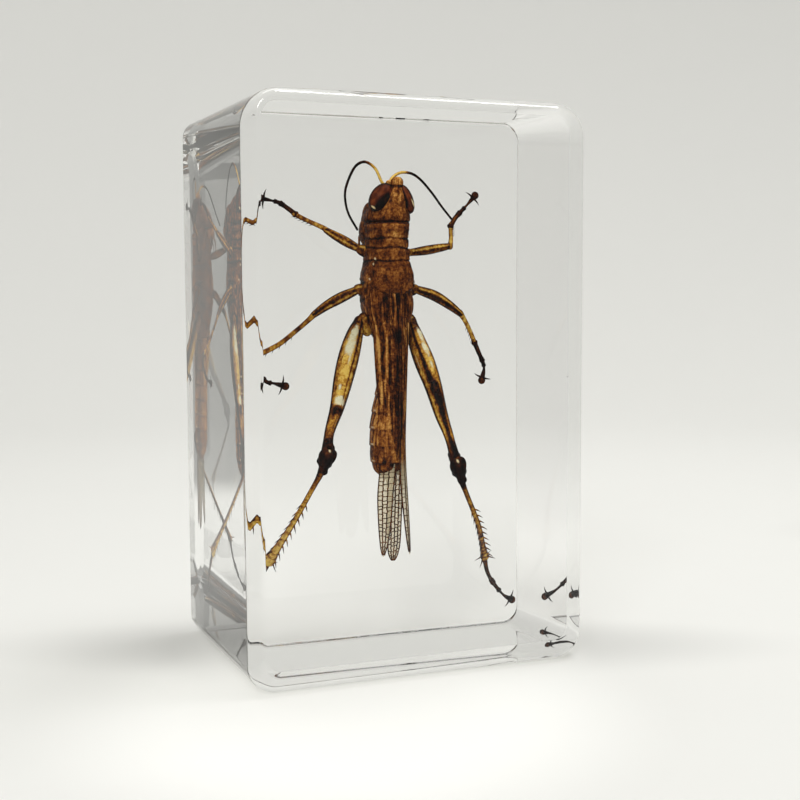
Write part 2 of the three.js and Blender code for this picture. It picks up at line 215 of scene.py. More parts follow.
def addLimb(shape, joints, around=16, perSpan=6, flat=1.0, relief=None, tone=None, pale=None,
            dark=0.45, light=0.35):
    # joints: x, y, z, radius, tone; flat scales the radius towards the deep direction
    rows = smoothRows(joints, perSpan)
    rows[:, 3] = np.maximum(rows[:, 3], thinnestLimb)
    points, radius, own = rows[:, :3], rows[:, 3:4], rows[:, 4:5]
    along, side, deep = pathFrames(points)
    heads = [(points[0] - along[0] * radius[0] * out, size) for out, size in reversed(limbEnds)]
    tails = [(points[-1] + along[-1] * radius[-1] * out, size) for out, size in limbEnds]
    points = np.vstack([[p for p, s in heads], points, [p for p, s in tails]])
    sizes = np.array([s for p, s in heads] + [1] * len(radius) + [s for p, s in tails])[:, None]
    more = len(limbEnds)
    radius, own, side, deep = (
        np.vstack([[values[0]] * more, values, [values[-1]] * more])
        for values in (radius, own, side, deep)
    )
    radius = radius * sizes
    run = np.concatenate([[0], np.cumsum(np.linalg.norm(np.diff(points, axis=0), axis=1))])
    t = (run / run[-1])[:, None]
    angle = turnsRound(around)
    rise = relief(t, angle) * sizes if relief else 0 * angle
    rings = ringsAlong(points, side, deep, radius + rise, (radius + rise) * flat, angle)
    out = ringsAlong(0 * points, side, deep, 1 + 0 * rise, 1 + 0 * rise, angle)
    # the tone holds the limb's own marks with the painted side shade and painted highlight
    toneValues = own + paintedSideShadeAndHighlight(out, dark, light) + (tone(t, angle) if tone else 0 * angle)
    paintedHighlightValues = pale(t, angle) if pale else 0 * (own + angle)
    addRings(shape, rings, np.clip(toneValues, 0, 1), paintedHighlightValues + 0 * toneValues)


def addSpike(shape, foot, direction, length, radius, bend=(0, 0, 0), tones=(0.3, 1.0), around=6):
    # a thorn or claw that bends as it runs out
    foot, direction, bend = (np.array(v, float) for v in (foot, direction, bend))
    direction /= np.linalg.norm(direction)
    t = np.linspace(0, 1, 5)[:, None]
    points = foot + direction * length * t + bend * length * t * t
    side, deep = pathFrames(points)[1:]
    angle = turnsRound(around)
    size = radius * (1 - 0.9 * t ** 1.3)
    rings = ringsAlong(points, side, deep, size, size, angle)
    addRings(shape, rings, tones[0] + (tones[1] - tones[0]) * t ** 0.6 + 0 * angle)


def addBall(shape, centre, halves, turn=(0, 0, 0), tone=0.5, rows=16, around=24, pale=None):
    # an ellipsoid from pole to pole along Z before it is turned
    polar = np.linspace(0.02, math.pi - 0.02, rows)[:, None]
    angle = turnsRound(around)
    unit = np.stack([
        np.sin(polar) * np.cos(angle),
        np.sin(polar) * np.sin(angle),
        np.cos(polar) + 0 * angle,
    ], -1)
    values = tone(unit) if callable(tone) else tone
    paintedHighlightValues = pale(unit) if pale else 0 * unit[..., 0]
    turned = (unit * np.array(halves)) @ np.array(turnMatrix(turn)).T
    addRings(shape, turned + np.array(centre), values + 0 * unit[..., 0], paintedHighlightValues)


def turnMatrix(turn):
    x, y, z = (math.radians(a) for a in turn)
    return Matrix.Rotation(z, 3, "Z") @ Matrix.Rotation(y, 3, "Y") @ Matrix.Rotation(x, 3, "X")


# shader groups and materials

def socket(group, name, way, kind, value=None):
    made = group.interface.new_socket(name=name, in_out=way, socket_type=kind)
    if value is not None:
        made.default_value = value
    return made


def wire(tree, a, out, b, into):
    tree.links.new(a.outputs[out], b.inputs[into])


def mathNode(tree, kind, a, b=None, c=None):
    node = tree.nodes.new("ShaderNodeMath")
    node.operation = kind
    for index, value in enumerate((a, b, c)):
        if value is None:
            continue
        if isinstance(value, (int, float)):
            node.inputs[index].default_value = value
        else:
            tree.links.new(value, node.inputs[index])
    return node.outputs[0]


def noiseNode(tree, vector, scale, detail=4, rough=0.55):
    node = tree.nodes.new("ShaderNodeTexNoise")
    node.inputs["Scale"].default_value = scale
    node.inputs["Detail"].default_value = detail
    node.inputs["Roughness"].default_value = rough
    tree.links.new(vector, node.inputs["Vector"])
    return node.outputs["Fac"]


def rampNode(tree, value, stops):
    node = tree.nodes.new("ShaderNodeValToRGB")
    band = node.color_ramp
    while len(band.elements) < len(stops):
        band.elements.new(0.5)
    for element, (place, colour) in zip(band.elements, stops):
        element.position = place
        element.color = (*colour, 1)
    tree.links.new(value, node.inputs["Fac"])
    return node.outputs["Color"]


def rangeNode(tree, value, low, high, easing="SMOOTHSTEP", top=1.0):
    # 0 at low and top at high
    node = tree.nodes.new("ShaderNodeMapRange")
    node.interpolation_type = easing
    node.inputs["From Min"].default_value = low
    node.inputs["From Max"].default_value = high
    node.inputs["To Max"].default_value = top
    tree.links.new(value, node.inputs["Value"])
    return node.outputs[0]


def mixColour(tree, factor, a, b):
    node = tree.nodes.new("ShaderNodeMix")
    node.data_type = "RGBA"
    for value, into in ((factor, 0), (a, 6), (b, 7)):
        if isinstance(value, (int, float)):
            node.inputs[into].default_value = value
        elif isinstance(value, tuple):
            node.inputs[into].default_value = (*value, 1)
        else:
            tree.links.new(value, node.inputs[into])
    return node.outputs[2]


cuticleGrain = {
    "patchScale": 900.0,      # soft blotches, about 1 mm
    "patchRange": (0.32, 0.68),
    "fleckScale": 2900.0,     # small flecks
    "fleckRange": (0.34, 0.66),
    "streakScale": 2200.0,
    "streakRange": (0.36, 0.64),
    "streakStretch": 0.14,    # streaks run up and down the body
    "pitScale": 5200.0,       # pits in the shell
    "pitDepth": 0.6,
    "roughFrom": 0.12,
    "roughMore": 0.3,
}


def makeCuticleGroup():
    # blotches, flecks, streaks and pits that all the shells share
    group = bpy.data.node_groups.new("cuticleGrain", "ShaderNodeTree")
    socket(group, "Blotch", "INPUT", "NodeSocketFloat", 0.2)
    socket(group, "Fleck", "INPUT", "NodeSocketFloat", 0.1)
    socket(group, "Streak", "INPUT", "NodeSocketFloat", 0.1)
    socket(group, "Tone", "OUTPUT", "NodeSocketFloat")
    socket(group, "Height", "OUTPUT", "NodeSocketFloat")
    socket(group, "Roughness", "OUTPUT", "NodeSocketFloat")
    nodes = group.nodes
    enter = nodes.new("NodeGroupInput")
    leave = nodes.new("NodeGroupOutput")
    place = nodes.new("ShaderNodeTexCoord").outputs["Object"]
    stretch = nodes.new("ShaderNodeMapping")
    stretch.inputs["Scale"].default_value = (1, 1, cuticleGrain["streakStretch"])
    group.links.new(place, stretch.inputs["Vector"])
    patch = noiseNode(group, place, cuticleGrain["patchScale"], 3)
    patch = rangeNode(group, patch, *cuticleGrain["patchRange"])
    fleck = noiseNode(group, place, cuticleGrain["fleckScale"], 5, 0.65)
    fleck = rangeNode(group, fleck, *cuticleGrain["fleckRange"])
    streak = noiseNode(group, stretch.outputs[0], cuticleGrain["streakScale"], 4)
    streak = rangeNode(group, streak, *cuticleGrain["streakRange"])
    parts = []
    for value, name in ((patch, "Blotch"), (fleck, "Fleck"), (streak, "Streak")):
        centred = mathNode(group, "SUBTRACT", value, 0.5)
        parts.append(mathNode(group, "MULTIPLY", centred, enter.outputs[name]))
    total = mathNode(group, "ADD", mathNode(group, "ADD", parts[0], parts[1]), parts[2])
    group.links.new(total, leave.inputs["Tone"])
    pits = nodes.new("ShaderNodeTexVoronoi")
    pits.inputs["Scale"].default_value = cuticleGrain["pitScale"]
    group.links.new(place, pits.inputs["Vector"])
    height = mathNode(group, "MULTIPLY_ADD", pits.outputs["Distance"], cuticleGrain["pitDepth"], fleck)
    group.links.new(height, leave.inputs["Height"])
    rough = mathNode(group, "MULTIPLY_ADD", patch, cuticleGrain["roughMore"], cuticleGrain["roughFrom"])
    group.links.new(rough, leave.inputs["Roughness"])
    return group


cuticleGroup = makeCuticleGroup()


def readValue(tree, name):
    node = tree.nodes.new("ShaderNodeAttribute")
    node.attribute_name = name
    return node.outputs["Fac"]


def newMaterial(name):
    material = bpy.data.materials.new(name)
    material.use_nodes = True
    tree = material.node_tree
    return material, tree, tree.nodes["Principled BSDF"]


shellBase = {
    "ior": 1.2,                   # the shell's against the resin round it
    "dentDepth": 0.05,
    "coatRoughness": 0.12,
    "paintedHighlightRange": (0.25, 0.75),    # the pale values between which the colour turns to the painted highlight colour
}


def grainedMaterial(name, look):
    # tone, which holds painted shade and highlights as well as the shells' own marks, picks the colour
    # from gold to black, and the grain breaks it up and dents the surface
    material, tree, shader = newMaterial(name)
    grain = tree.nodes.new("ShaderNodeGroup")
    grain.node_tree = cuticleGroup
    for key in ("Blotch", "Fleck", "Streak"):
        grain.inputs[key].default_value = look[key]
    tone = mathNode(tree, "ADD", readValue(tree, "tone"), grain.outputs["Tone"])
    colour = rampNode(tree, tone, look["stops"])
    tree.links.new(grain.outputs["Roughness"], shader.inputs["Roughness"])
    dents = tree.nodes.new("ShaderNodeBump")
    dents.inputs["Strength"].default_value = look["dent"]
    dents.inputs["Distance"].default_value = shellBase["dentDepth"] * mm
    tree.links.new(grain.outputs["Height"], dents.inputs["Height"])
    wire(tree, dents, "Normal", shader, "Normal")
    shader.inputs["IOR"].default_value = shellBase["ior"]
    shader.inputs["Specular IOR Level"].default_value = look["gloss"]
    return material, tree, shader, grain, colour


def shellMaterial(name, look):
    # pale lightens the colour to a painted highlight where the grain lets it
    material, tree, shader, grain, colour = grainedMaterial(name, look)
    broken = mathNode(tree, "MULTIPLY_ADD", grain.outputs["Tone"], look["paintedHighlightBreak"], 1.0)
    speck = mathNode(tree, "MULTIPLY", broken, readValue(tree, "pale"))
    light = rangeNode(tree, speck, *shellBase["paintedHighlightRange"], "LINEAR")
    colour = mixColour(tree, light, colour, look["paintedHighlightColour"])
    tree.links.new(colour, shader.inputs["Base Color"])
    shader.inputs["Transmission Weight"].default_value = look["clear"]
    shader.inputs["Coat Weight"].default_value = look["coat"]
    shader.inputs["Coat Roughness"].default_value = shellBase["coatRoughness"]
    return material


ambers = [
    (0.0, (0.98, 0.66, 0.14)),
    (0.25, (0.64, 0.31, 0.035)),
    (0.5, (0.26, 0.075, 0.010)),
    (0.75, (0.050, 0.011, 0.004)),
    (1.0, (0.004, 0.002, 0.002)),
]
browns = [
    (0.0, (0.86, 0.46, 0.12)),
    (0.25, (0.50, 0.185, 0.036)),
    (0.5, (0.21, 0.056, 0.010)),
    (0.75, (0.052, 0.011, 0.003)),
    (1.0, (0.004, 0.002, 0.002)),
]
reds = [
    (0.0, (0.62, 0.22, 0.06)),
    (0.3, (0.30, 0.07, 0.018)),
    (0.6, (0.085, 0.016, 0.006)),
    (1.0, (0.005, 0.003, 0.003)),
]
shellLooks = {
    "legs": {"stops": ambers, "Blotch": 0.3, "Fleck": 0.34, "Streak": 0.16, "paintedHighlightBreak": 2.0,
             "paintedHighlightColour": (1.0, 0.94, 0.64), "dent": 0.4, "gloss": 0.03, "clear": 0.15, "coat": 0.003},
    "saddle": {"stops": browns, "Blotch": 0.26, "Fleck": 0.36, "Streak": 0.1, "paintedHighlightBreak": 0.8,
               "paintedHighlightColour": (1.0, 0.78, 0.45), "dent": 0.8, "gloss": 0.02, "clear": 0.0, "coat": 0.01},
    "body": {"stops": browns, "Blotch": 0.22, "Fleck": 0.28, "Streak": 0.46, "paintedHighlightBreak": 0.8,
             "paintedHighlightColour": (1.0, 0.82, 0.52), "dent": 0.8, "gloss": 0.02, "clear": 0.0, "coat": 0.012},
    "eyes": {"stops": reds, "Blotch": 0.14, "Fleck": 0.1, "Streak": 0.0, "paintedHighlightBreak": 0.3,
             "paintedHighlightColour": (1.0, 0.78, 0.42), "dent": 0.1, "gloss": 0.08, "clear": 0.0, "coat": 0.05},
    "dark": {"stops": ambers, "Blotch": 0.15, "Fleck": 0.22, "Streak": 0.1, "paintedHighlightBreak": 0.4,
             "paintedHighlightColour": (0.95, 0.78, 0.45), "dent": 0.4, "gloss": 0.04, "clear": 0.0, "coat": 0.02},
}
legShell = shellMaterial("amber_leg_shell", shellLooks["legs"])
bodyShell = shellMaterial("streaked_body_shell", shellLooks["body"])
saddleShell = shellMaterial("mottled_saddle_shell", shellLooks["saddle"])
eyeShell = shellMaterial("red_brown_eye", shellLooks["eyes"])
darkShell = shellMaterial("dark_joint_shell", shellLooks["dark"])

wingLook = {"stops": browns, "Blotch": 0.2, "Fleck": 0.3, "Streak": 0.6, "dent": 0.5, "gloss": 0.03,
            "clearAlpha": 0.5, "solidAlpha": 1.0, "tint": (1.0, 0.86, 0.58)}


def wingMaterial():
    # brown and solid near the body, thin and clear towards the tips, by the value pale
    material, tree, shader, _, colour = grainedMaterial("wing_membrane", wingLook)
    thin = readValue(tree, "pale")
    tree.links.new(mixColour(tree, thin, colour, wingLook["tint"]), shader.inputs["Base Color"])
    span = wingLook["clearAlpha"] - wingLook["solidAlpha"]
    alpha = mathNode(tree, "MULTIPLY_ADD", thin, span, wingLook["solidAlpha"])
    tree.links.new(alpha, shader.inputs["Alpha"])
    return material


wingMembrane = wingMaterial()
print("materials made")


# the clear block

resinLook = {
    "ior": 1.47,
    "shadowTint": (0.82, 0.82, 0.81),   # light that a shadow ray keeps at each face
    "tint": (0.88, 0.90, 0.86),
    "density": 2.2,                     # absorption per metre
    "waveScale": 40.0,
    "wave": 0.02,
    "waveDepth": 1.0,
    "smearScale": 260.0,                # faint finger smears
    "smearRange": (0.62, 0.8),
    "smearRoughness": 0.03,
}
blockShape = {
    # each edge of the front and back: inset from the side against depth from the flat face
    "front": {
        "left": [(2.0, 0.0), (1.6, 0.1), (1.25, 0.38), (0.1, 1.53), (0.0, 1.75)],
        "right": [(3.5, 0.0), (1.3, 0.8), (0.9, 1.0), (0.0, 2.8)],
        "top": [(1.9, 0.0), (1.3, 0.14), (0.75, 0.42), (0.3, 0.95), (0.07, 1.5), (0.0, 2.1)],
        "bottom": [(3.1, 0.0), (1.2, 0.7), (0.65, 1.0), (0.28, 1.4), (0.07, 1.85), (0.0, 2.3)],
    },
    "back": {
        "left": [(0.03, 0.0), (0.0, 0.03)],
        "right": [(0.03, 0.0), (0.0, 0.03)],
        "top": [(0.18, 0.0), (0.0, 0.18)],
        "bottom": [(0.4, 0.0), (0.12, 0.1), (0.0, 0.4)],
    },
    "frontCorners": (2.2, 2.0),         # top and bottom, where the flat front begins
    "sideCorners": (5.0, 3.7),          # top and bottom, where the flat sides begin
    "backSideCorners": (2.5, 2.5),      # and where they end
    "backCorners": (2.4, 2.4),
    "cornerShare": 0.6,                 # the part of a bevel's depth over which its corners change
    "cornerSteps": 20,
    "bevelSteps": 18,
    "bevelEase": 1.7,                   # above 1 the rings crowd towards the flat face
}


def resinMaterial():
    material, tree, shader = newMaterial("clear_cast_resin")
    shader.inputs["Base Color"].default_value = (1, 1, 1, 1)
    shader.inputs["Transmission Weight"].default_value = 1
    shader.inputs["IOR"].default_value = resinLook["ior"]
    place = tree.nodes.new("ShaderNodeTexCoord").outputs["Object"]
    smear = noiseNode(tree, place, resinLook["smearScale"], 3)
    rough = rangeNode(tree, smear, *resinLook["smearRange"], "LINEAR", resinLook["smearRoughness"])
    tree.links.new(rough, shader.inputs["Roughness"])
    wave = tree.nodes.new("ShaderNodeBump")
    wave.inputs["Strength"].default_value = resinLook["wave"]
    wave.inputs["Distance"].default_value = resinLook["waveDepth"] * mm
    tree.links.new(noiseNode(tree, place, resinLook["waveScale"], 1), wave.inputs["Height"])
    wire(tree, wave, "Normal", shader, "Normal")
    through = tree.nodes.new("ShaderNodeBsdfTransparent")
    through.inputs["Color"].default_value = (*resinLook["shadowTint"], 1)
    path = tree.nodes.new("ShaderNodeLightPath")
    choose = tree.nodes.new("ShaderNodeMixShader")
    # light that falls through the block comes in once, by shadow and diffuse rays that run straight
    straight = mathNode(tree, "MAXIMUM", path.outputs["Is Shadow Ray"], path.outputs["Is Diffuse Ray"])
    tree.links.new(straight, choose.inputs[0])
    tree.links.new(shader.outputs[0], choose.inputs[1])
    tree.links.new(through.outputs[0], choose.inputs[2])
    out = tree.nodes["Material Output"]
    tree.links.new(choose.outputs[0], out.inputs["Surface"])
    fog = tree.nodes.new("ShaderNodeVolumeAbsorption")
    fog.inputs["Color"].default_value = (*resinLook["tint"], 1)
    fog.inputs["Density"].default_value = resinLook["density"]
    tree.links.new(fog.outputs[0], out.inputs["Volume"])
    return material


def blockRing(y, insets, corners):
    # one outline of the block, round the corners from the upper right
    low, high = cadLow / mm, cadHigh / mm
    left, right = low.x + insets[0], high.x - insets[1]
    top, bottom = high.z - insets[2], low.z + insets[3]
    steps = blockShape["cornerSteps"]
    points = []
    places = [
        (right, top, -1, -1, 0),
        (left, top, 1, -1, 0),
        (left, bottom, 1, 1, 1),
        (right, bottom, -1, 1, 1),
    ]
    for index, (x, z, inX, inZ, which) in enumerate(places):
        radius = corners[which]
        for k in range(steps + 1):
            angle = half * (index + k / steps)
            points.append((
                x + inX * radius + radius * math.cos(angle),
                y,
                z + inZ * radius + radius * math.sin(angle),
            ))
    return points


def bevelRings(profiles, y, inward, flatCorners, sideCorners):
    # rings from the flat face, at y, to where every side runs straight
    reach = max(profile[-1][1] for profile in profiles.values())
    rings = []
    for k in range(blockShape["bevelSteps"] + 1):
        t = k / blockShape["bevelSteps"]
        deep = reach * t ** blockShape["bevelEase"]
        insets = [
            np.interp(deep, [d for i, d in profile], [i for i, d in profile])
            for profile in profiles.values()
        ]
        share = min(1, deep / (blockShape["cornerShare"] * reach))
        corners = [flat + (side - flat) * share for flat, side in zip(flatCorners, sideCorners)]
        rings.append(blockRing(y + inward * deep, insets, corners))
    return rings


def makeBlock():
    look = blockShape
    front = bevelRings(look["front"], cadLow.y / mm, 1, look["frontCorners"], look["sideCorners"])
    back = bevelRings(look["back"], cadHigh.y / mm, -1, look["backCorners"], look["backSideCorners"])
    grid = np.array(front + back[::-1])
    shape = newShape()
    addRings(shape, grid)
    piece = finishShape(shape, "resin_block", resinMaterial())
    # exact normals, so that the flat faces refract as flat ones
    around = np.roll(grid, -1, axis=1) - np.roll(grid, 1, axis=1)
    normals = np.cross(np.gradient(grid, axis=0), around)
    normals /= np.linalg.norm(normals, axis=2, keepdims=True)
    outward = np.sum(normals * (grid - grid.mean(axis=(0, 1))), axis=2, keepdims=True)
    normals *= np.sign(outward)
    last = blockShape["bevelSteps"]
    for row in (last, last + 1):
        # where the sides run straight
        normals[row] = normals[row] * (1, 0, 1)
        normals[row] /= np.linalg.norm(normals[row], axis=1, keepdims=True)
    normals[0] = (0, -1, 0)
    normals[-1] = (0, 1, 0)
    piece.data.normals_split_custom_set_from_vertices(normals.reshape(-1, 3).tolist())
    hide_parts("resin_front", "resin_back")
    return piece


makeBlock()
print("block made")


# head

headSections = [
    [64.2, 1.38, 4.35, 0.12, 0.15],
    [64.08, 1.36, 4.35, 0.5, 0.55],
    [63.7, 1.34, 4.5, 0.85, 0.95],
    [63.15, 1.3, 4.7, 0.92, 1.25],
    [62.6, 1.2, 5.2, 1.05, 1.9],
    [61.9, 1.1, 5.9, 1.6, 2.9],
    [60.9, 0.95, 6.9, 2.38, 4.0],
    [59.8, 0.7, 7.6, 2.9, 4.8],
    [58.9, 0.6, 7.9, 3.18, 5.2],
    [58.1, 0.6, 7.9, 3.15, 5.1],
    [57.2, 0.6, 7.6, 2.75, 4.6],
]
headLook = {
    "foldHeight": 58.25,
    "cheeks": [
        ((-1.4, 9.3, 58.9), (0.95, 2.3, 2.1)),
        ((-1.75, 9.3, 57.1), (1.05, 2.4, 2.1)),
        ((2.9, 9.3, 57.5), (0.9, 2.4, 2.7)),
    ],
    "knobs": [(0.3, 4.85, 63.35), (1.9, 4.85, 63.2)],    # the sockets of the antennae
    "knobHalves": (0.42, 0.5, 0.42),
    "rimSize": 1.05,         # the dark raised rims of the eyes, against the eyes
    "rimInward": 0.12,
    "rimDeeper": 0.32,
    "eyes": {
        "left": {"centre": (-0.95, 4.35, 61.42), "halves": (1.42, 1.45, 2.12), "turn": (0, 40, 12),
                 "dark": (0.12, -0.33), "glint": (-0.14, -0.92), "glintSize": (0.28, 0.045)},
        "right": {"centre": (2.72, 4.6, 61.3), "halves": (0.92, 1.4, 2.02), "turn": (0, -22, -12),
                  "dark": (-0.42, 0.15), "glint": (0.66, -0.42), "glintSize": (0.11, 0.3)},
    },
}


def headRelief(z, angle):
    crest = 0.07 * bump(gap(angle, -half), 0, 0.13) * ramp(z, 63.0, 62.0)
    sideFold = -0.09 * bump(np.abs(gap(angle, -half)), 0.62, 0.07)
    fold = -0.2 * bump(z, headLook["foldHeight"], 0.13)
    cheek = -0.14 * bump(np.abs(gap(angle, -half)), 1.15, 0.08)
    face = 0.25 * bump(gap(angle, half), 0, 0.3) * ramp(z, 63.5, 61)
    return crest + sideFold * ramp(z, 57, 59) + fold + cheek * ramp(z, 61.5, 60.5) + face


def headTone(z, angle):
    turn = np.abs(gap(angle, -half))
    back = 0.5 + 0.1 * bump(turn, 0, 0.06) * ramp(z, 59, 61.5) + 0.08 * ramp(z, 60.2, 58.6)
    fans = 0.06 * np.cos(turn * 19) * ramp(z, 58.5, 61)
    sides = 0.1 * ramp(turn, 0.7, 1.2)
    # painted shade in the side folds and in the fold at the neck
    lines = 0.3 * bump(turn, 0.64, 0.06) * ramp(z, 58.4, 60)
    fold = 0.4 * bump(z, headLook["foldHeight"], 0.14)
    # an orange fork between the eyes and an orange knob with dark edges above it
    spread = 0.16 + 0.3 * ramp(z, 61.6, 62.6)
    fork = -0.3 * bump(turn, spread, 0.13) * ramp(z, 60.6, 61.6) * ramp(z, 62.9, 62.5)
    brow = ramp(z, 62.9, 63.3)
    knob = -0.3 * brow + 0.3 * bump(z, 62.95, 0.16) + 0.3 * bump(turn, 1.2, 0.3) * brow
    return back + fans + sides + lines + fold + fork + knob


def makeHead():
    shape = newShape()
    addTrunk(shape, headSections, 72, 8, headRelief, headTone)
    for side, eye in headLook["eyes"].items():
        x, y, z = eye["centre"]
        inward = headLook["rimInward"] if side == "left" else -headLook["rimInward"]
        halves = [h * headLook["rimSize"] for h in eye["halves"]]
        addBall(shape, (x + inward, y + headLook["rimDeeper"], z), halves, eye["turn"], 0.9, 24, 40)
    for cheek in headLook["cheeks"]:
        addBall(shape, *cheek, tone=lambda unit: 0.6 + 0.2 * ramp(np.abs(unit[..., 0]), 0.7, 0.95))
    for knob in headLook["knobs"]:
        addBall(shape, knob, headLook["knobHalves"], tone=0.12)
    insectPiece(shape, "head_shell", saddleShell)


def makeEyes():
    for side, eye in headLook["eyes"].items():
        dark, glint, size = eye["dark"], eye["glint"], eye["glintSize"]
        # the front direction, turned into the eye's own frame
        viewed = np.array(paintedShellShading["front"]) @ np.array(turnMatrix(eye["turn"]))

        def tone(unit, dark=dark, viewed=viewed, halves=np.array(eye["halves"])):
            # a near black oval, red-brown round it with faint bands, and painted shade as a dark outline
            # where the eye turns away from the front
            away = np.hypot(unit[..., 0] - dark[0], (unit[..., 2] - dark[1]) * 0.6)
            bands = 0.06 * np.cos(unit[..., 0] * 16)
            facing = unit / halves
            facing = np.abs(facing @ viewed) / np.linalg.norm(facing, axis=-1)
            rim = 0.45 * ramp(facing, 0.74, 0.34)
            return 0.52 + 0.6 * ramp(away, 0.56, 0.3) + bands + rim

        # a painted glint on the lower rim
        def pale(unit, glint=glint, size=size):
            across = bump(unit[..., 0], glint[0], size[0])
            along = bump(unit[..., 2], glint[1], size[1])
            return 0.95 * across * along * ramp(unit[..., 1], 0.1, -0.3)

        shape = newShape()
        addBall(shape, eye["centre"], eye["halves"], eye["turn"], tone, 48, 64, pale=pale)
        insectPiece(shape, "eye_" + side, eyeShell)


mouthParts = {
    "upperLip": ((0.7, 12.9, 57.9), (1.05, 0.55, 0.75)),
    "jawLeft": ((-0.6, 12.5, 57.6), (0.95, 0.7, 0.85)),
    "jawRight": ((1.8, 12.5, 57.6), (0.95, 0.7, 0.85)),
    "palps": [
        [[-1.5, 11.3, 57.2, 0.2, 0.65], [-2.1, 11.8, 56.7, 0.19, 0.6], [-2.25, 12.0, 55.6, 0.17, 0.6],
         [-2.1, 12.1, 54.6, 0.15, 0.6]],
        [[3.0, 11.3, 57.2, 0.2, 0.55], [3.9, 11.8, 56.6, 0.19, 0.5], [4.2, 12.0, 55.4, 0.17, 0.45],
         [3.8, 12.1, 54.5, 0.15, 0.4]],
        [[0.0, 12.2, 56.6, 0.16, 0.55], [-0.6, 12.7, 55.9, 0.15, 0.5], [-0.6, 12.8, 55.0, 0.13, 0.4]],
        [[1.3, 12.2, 56.6, 0.16, 0.55], [1.9, 12.7, 55.9, 0.15, 0.5], [1.9, 12.8, 55.0, 0.13, 0.4]],
    ],
}


def makeMouth():
    shape = newShape()
    for key, tone in (("upperLip", 0.4), ("jawLeft", 0.62), ("jawRight", 0.62)):
        addBall(shape, *mouthParts[key], tone=tone)
    for palp in mouthParts["palps"]:
        addLimb(shape, palp, 10, 5, relief=lambda t, a: 0.03 * np.sin(t * 18) + 0 * a)
    insectPiece(shape, "mouth_parts", bodyShell)


antennae = {
    "left": {"goldTo": 0.34, "path": [
        (0.3, 4.6, 62.9), (-0.6, 5.0, 63.4), (-1.4, 5.6, 65.2), (-2.6, 6.1, 66.1), (-3.7, 6.4, 65.8),
        (-4.5, 6.7, 64.7), (-5.2, 7.3, 62.6), (-5.1, 7.9, 60.9), (-4.5, 8.4, 59.2), (-3.2, 9.0, 57.3),
    ]},
    "right": {"goldTo": 0.5, "path": [
        (0.9, 4.7, 62.9), (0.6, 5.0, 63.7), (1.3, 5.6, 64.4), (2.5, 6.1, 64.9), (4.1, 6.7, 64.8),
        (5.6, 7.3, 64.0), (7.4, 7.9, 62.3), (8.9, 8.4, 60.6), (10.5, 9.0, 59.0),
    ]},
    "segments": 26,
    "rootRadius": 0.2,
    "tipRadius": 0.15,
}


def beadRelief(t, angle):
    return 0.016 * np.abs(np.sin(t * antennae["segments"] * math.pi)) + 0 * angle


def makeAntennae():
    for side in ("left", "right"):
        path = antennae[side]
        count = len(path["path"]) - 1
        joints = []
        for i, point in enumerate(path["path"]):
            t = i / count
            radius = antennae["rootRadius"] + (antennae["tipRadius"] - antennae["rootRadius"]) * t
            dark = ramp(t, path["goldTo"] - 0.12, path["goldTo"])
            joints.append([*point, radius, 0.1 + 0.9 * dark])
        shape = newShape()
        addLimb(shape, joints, 10, 16, relief=beadRelief)
        insectPiece(shape, "antenna_" + side, darkShell)


makeHead()
makeEyes()
makeMouth()
makeAntennae()
print("head made")


# saddle of the thorax, thorax and abdomen

saddleSections = [
    [58.1, 0.5, 6.9, 2.5, 4.2],
    [57.85, 0.45, 7.0, 2.95, 4.75],
    [57.2, 0.4, 7.0, 2.9, 4.8],
    [56.0, 0.4, 7.0, 2.88, 4.8],
    [54.4, 0.4, 7.0, 2.9, 4.8],
    [52.8, 0.45, 7.0, 3.1, 4.9],
    [51.2, 0.5, 6.9, 3.45, 4.95],
    [50.0, 0.5, 6.9, 3.52, 4.85],
    [49.5, 0.5, 6.9, 3.5, 4.75],
    [49.35, 0.5, 6.9, 3.3, 4.5],
]
saddleLook = {
    "grooves": (56.0, 54.75, 53.05),
    "grooveDepth": 0.17,
    "ridgeTurn": 0.86,
    "rearLobe": 1.7,
    # small bright glints beside the grooves: height and angle from the back
    "glints": [(56.3, 0.84), (53.3, -0.86), (52.6, -0.93), (50.4, -1.05), (50.8, 1.0), (49.9, 0.98)],
}


def saddleRelief(z, angle):
    turn = gap(angle, -half)
    ridges = 0.14 * bump(np.abs(turn), saddleLook["ridgeTurn"], 0.09) + 0.08 * bump(turn, 0, 0.05)
    cuts = sum(bump(z, g, 0.1) for g in saddleLook["grooves"])
    ridges = ridges * (1 - 0.8 * np.minimum(cuts, 1))
    depth = saddleLook["grooveDepth"] * cuts * (0.35 + 0.65 * ramp(np.abs(turn), 2.0, 0.5))
    lip = 0.1 * bump(z, 57.2, 0.15) + 0.09 * bump(z, 49.75, 0.18)
    return ridges - depth + lip + 0.05 * ramp(z, 53, 51)


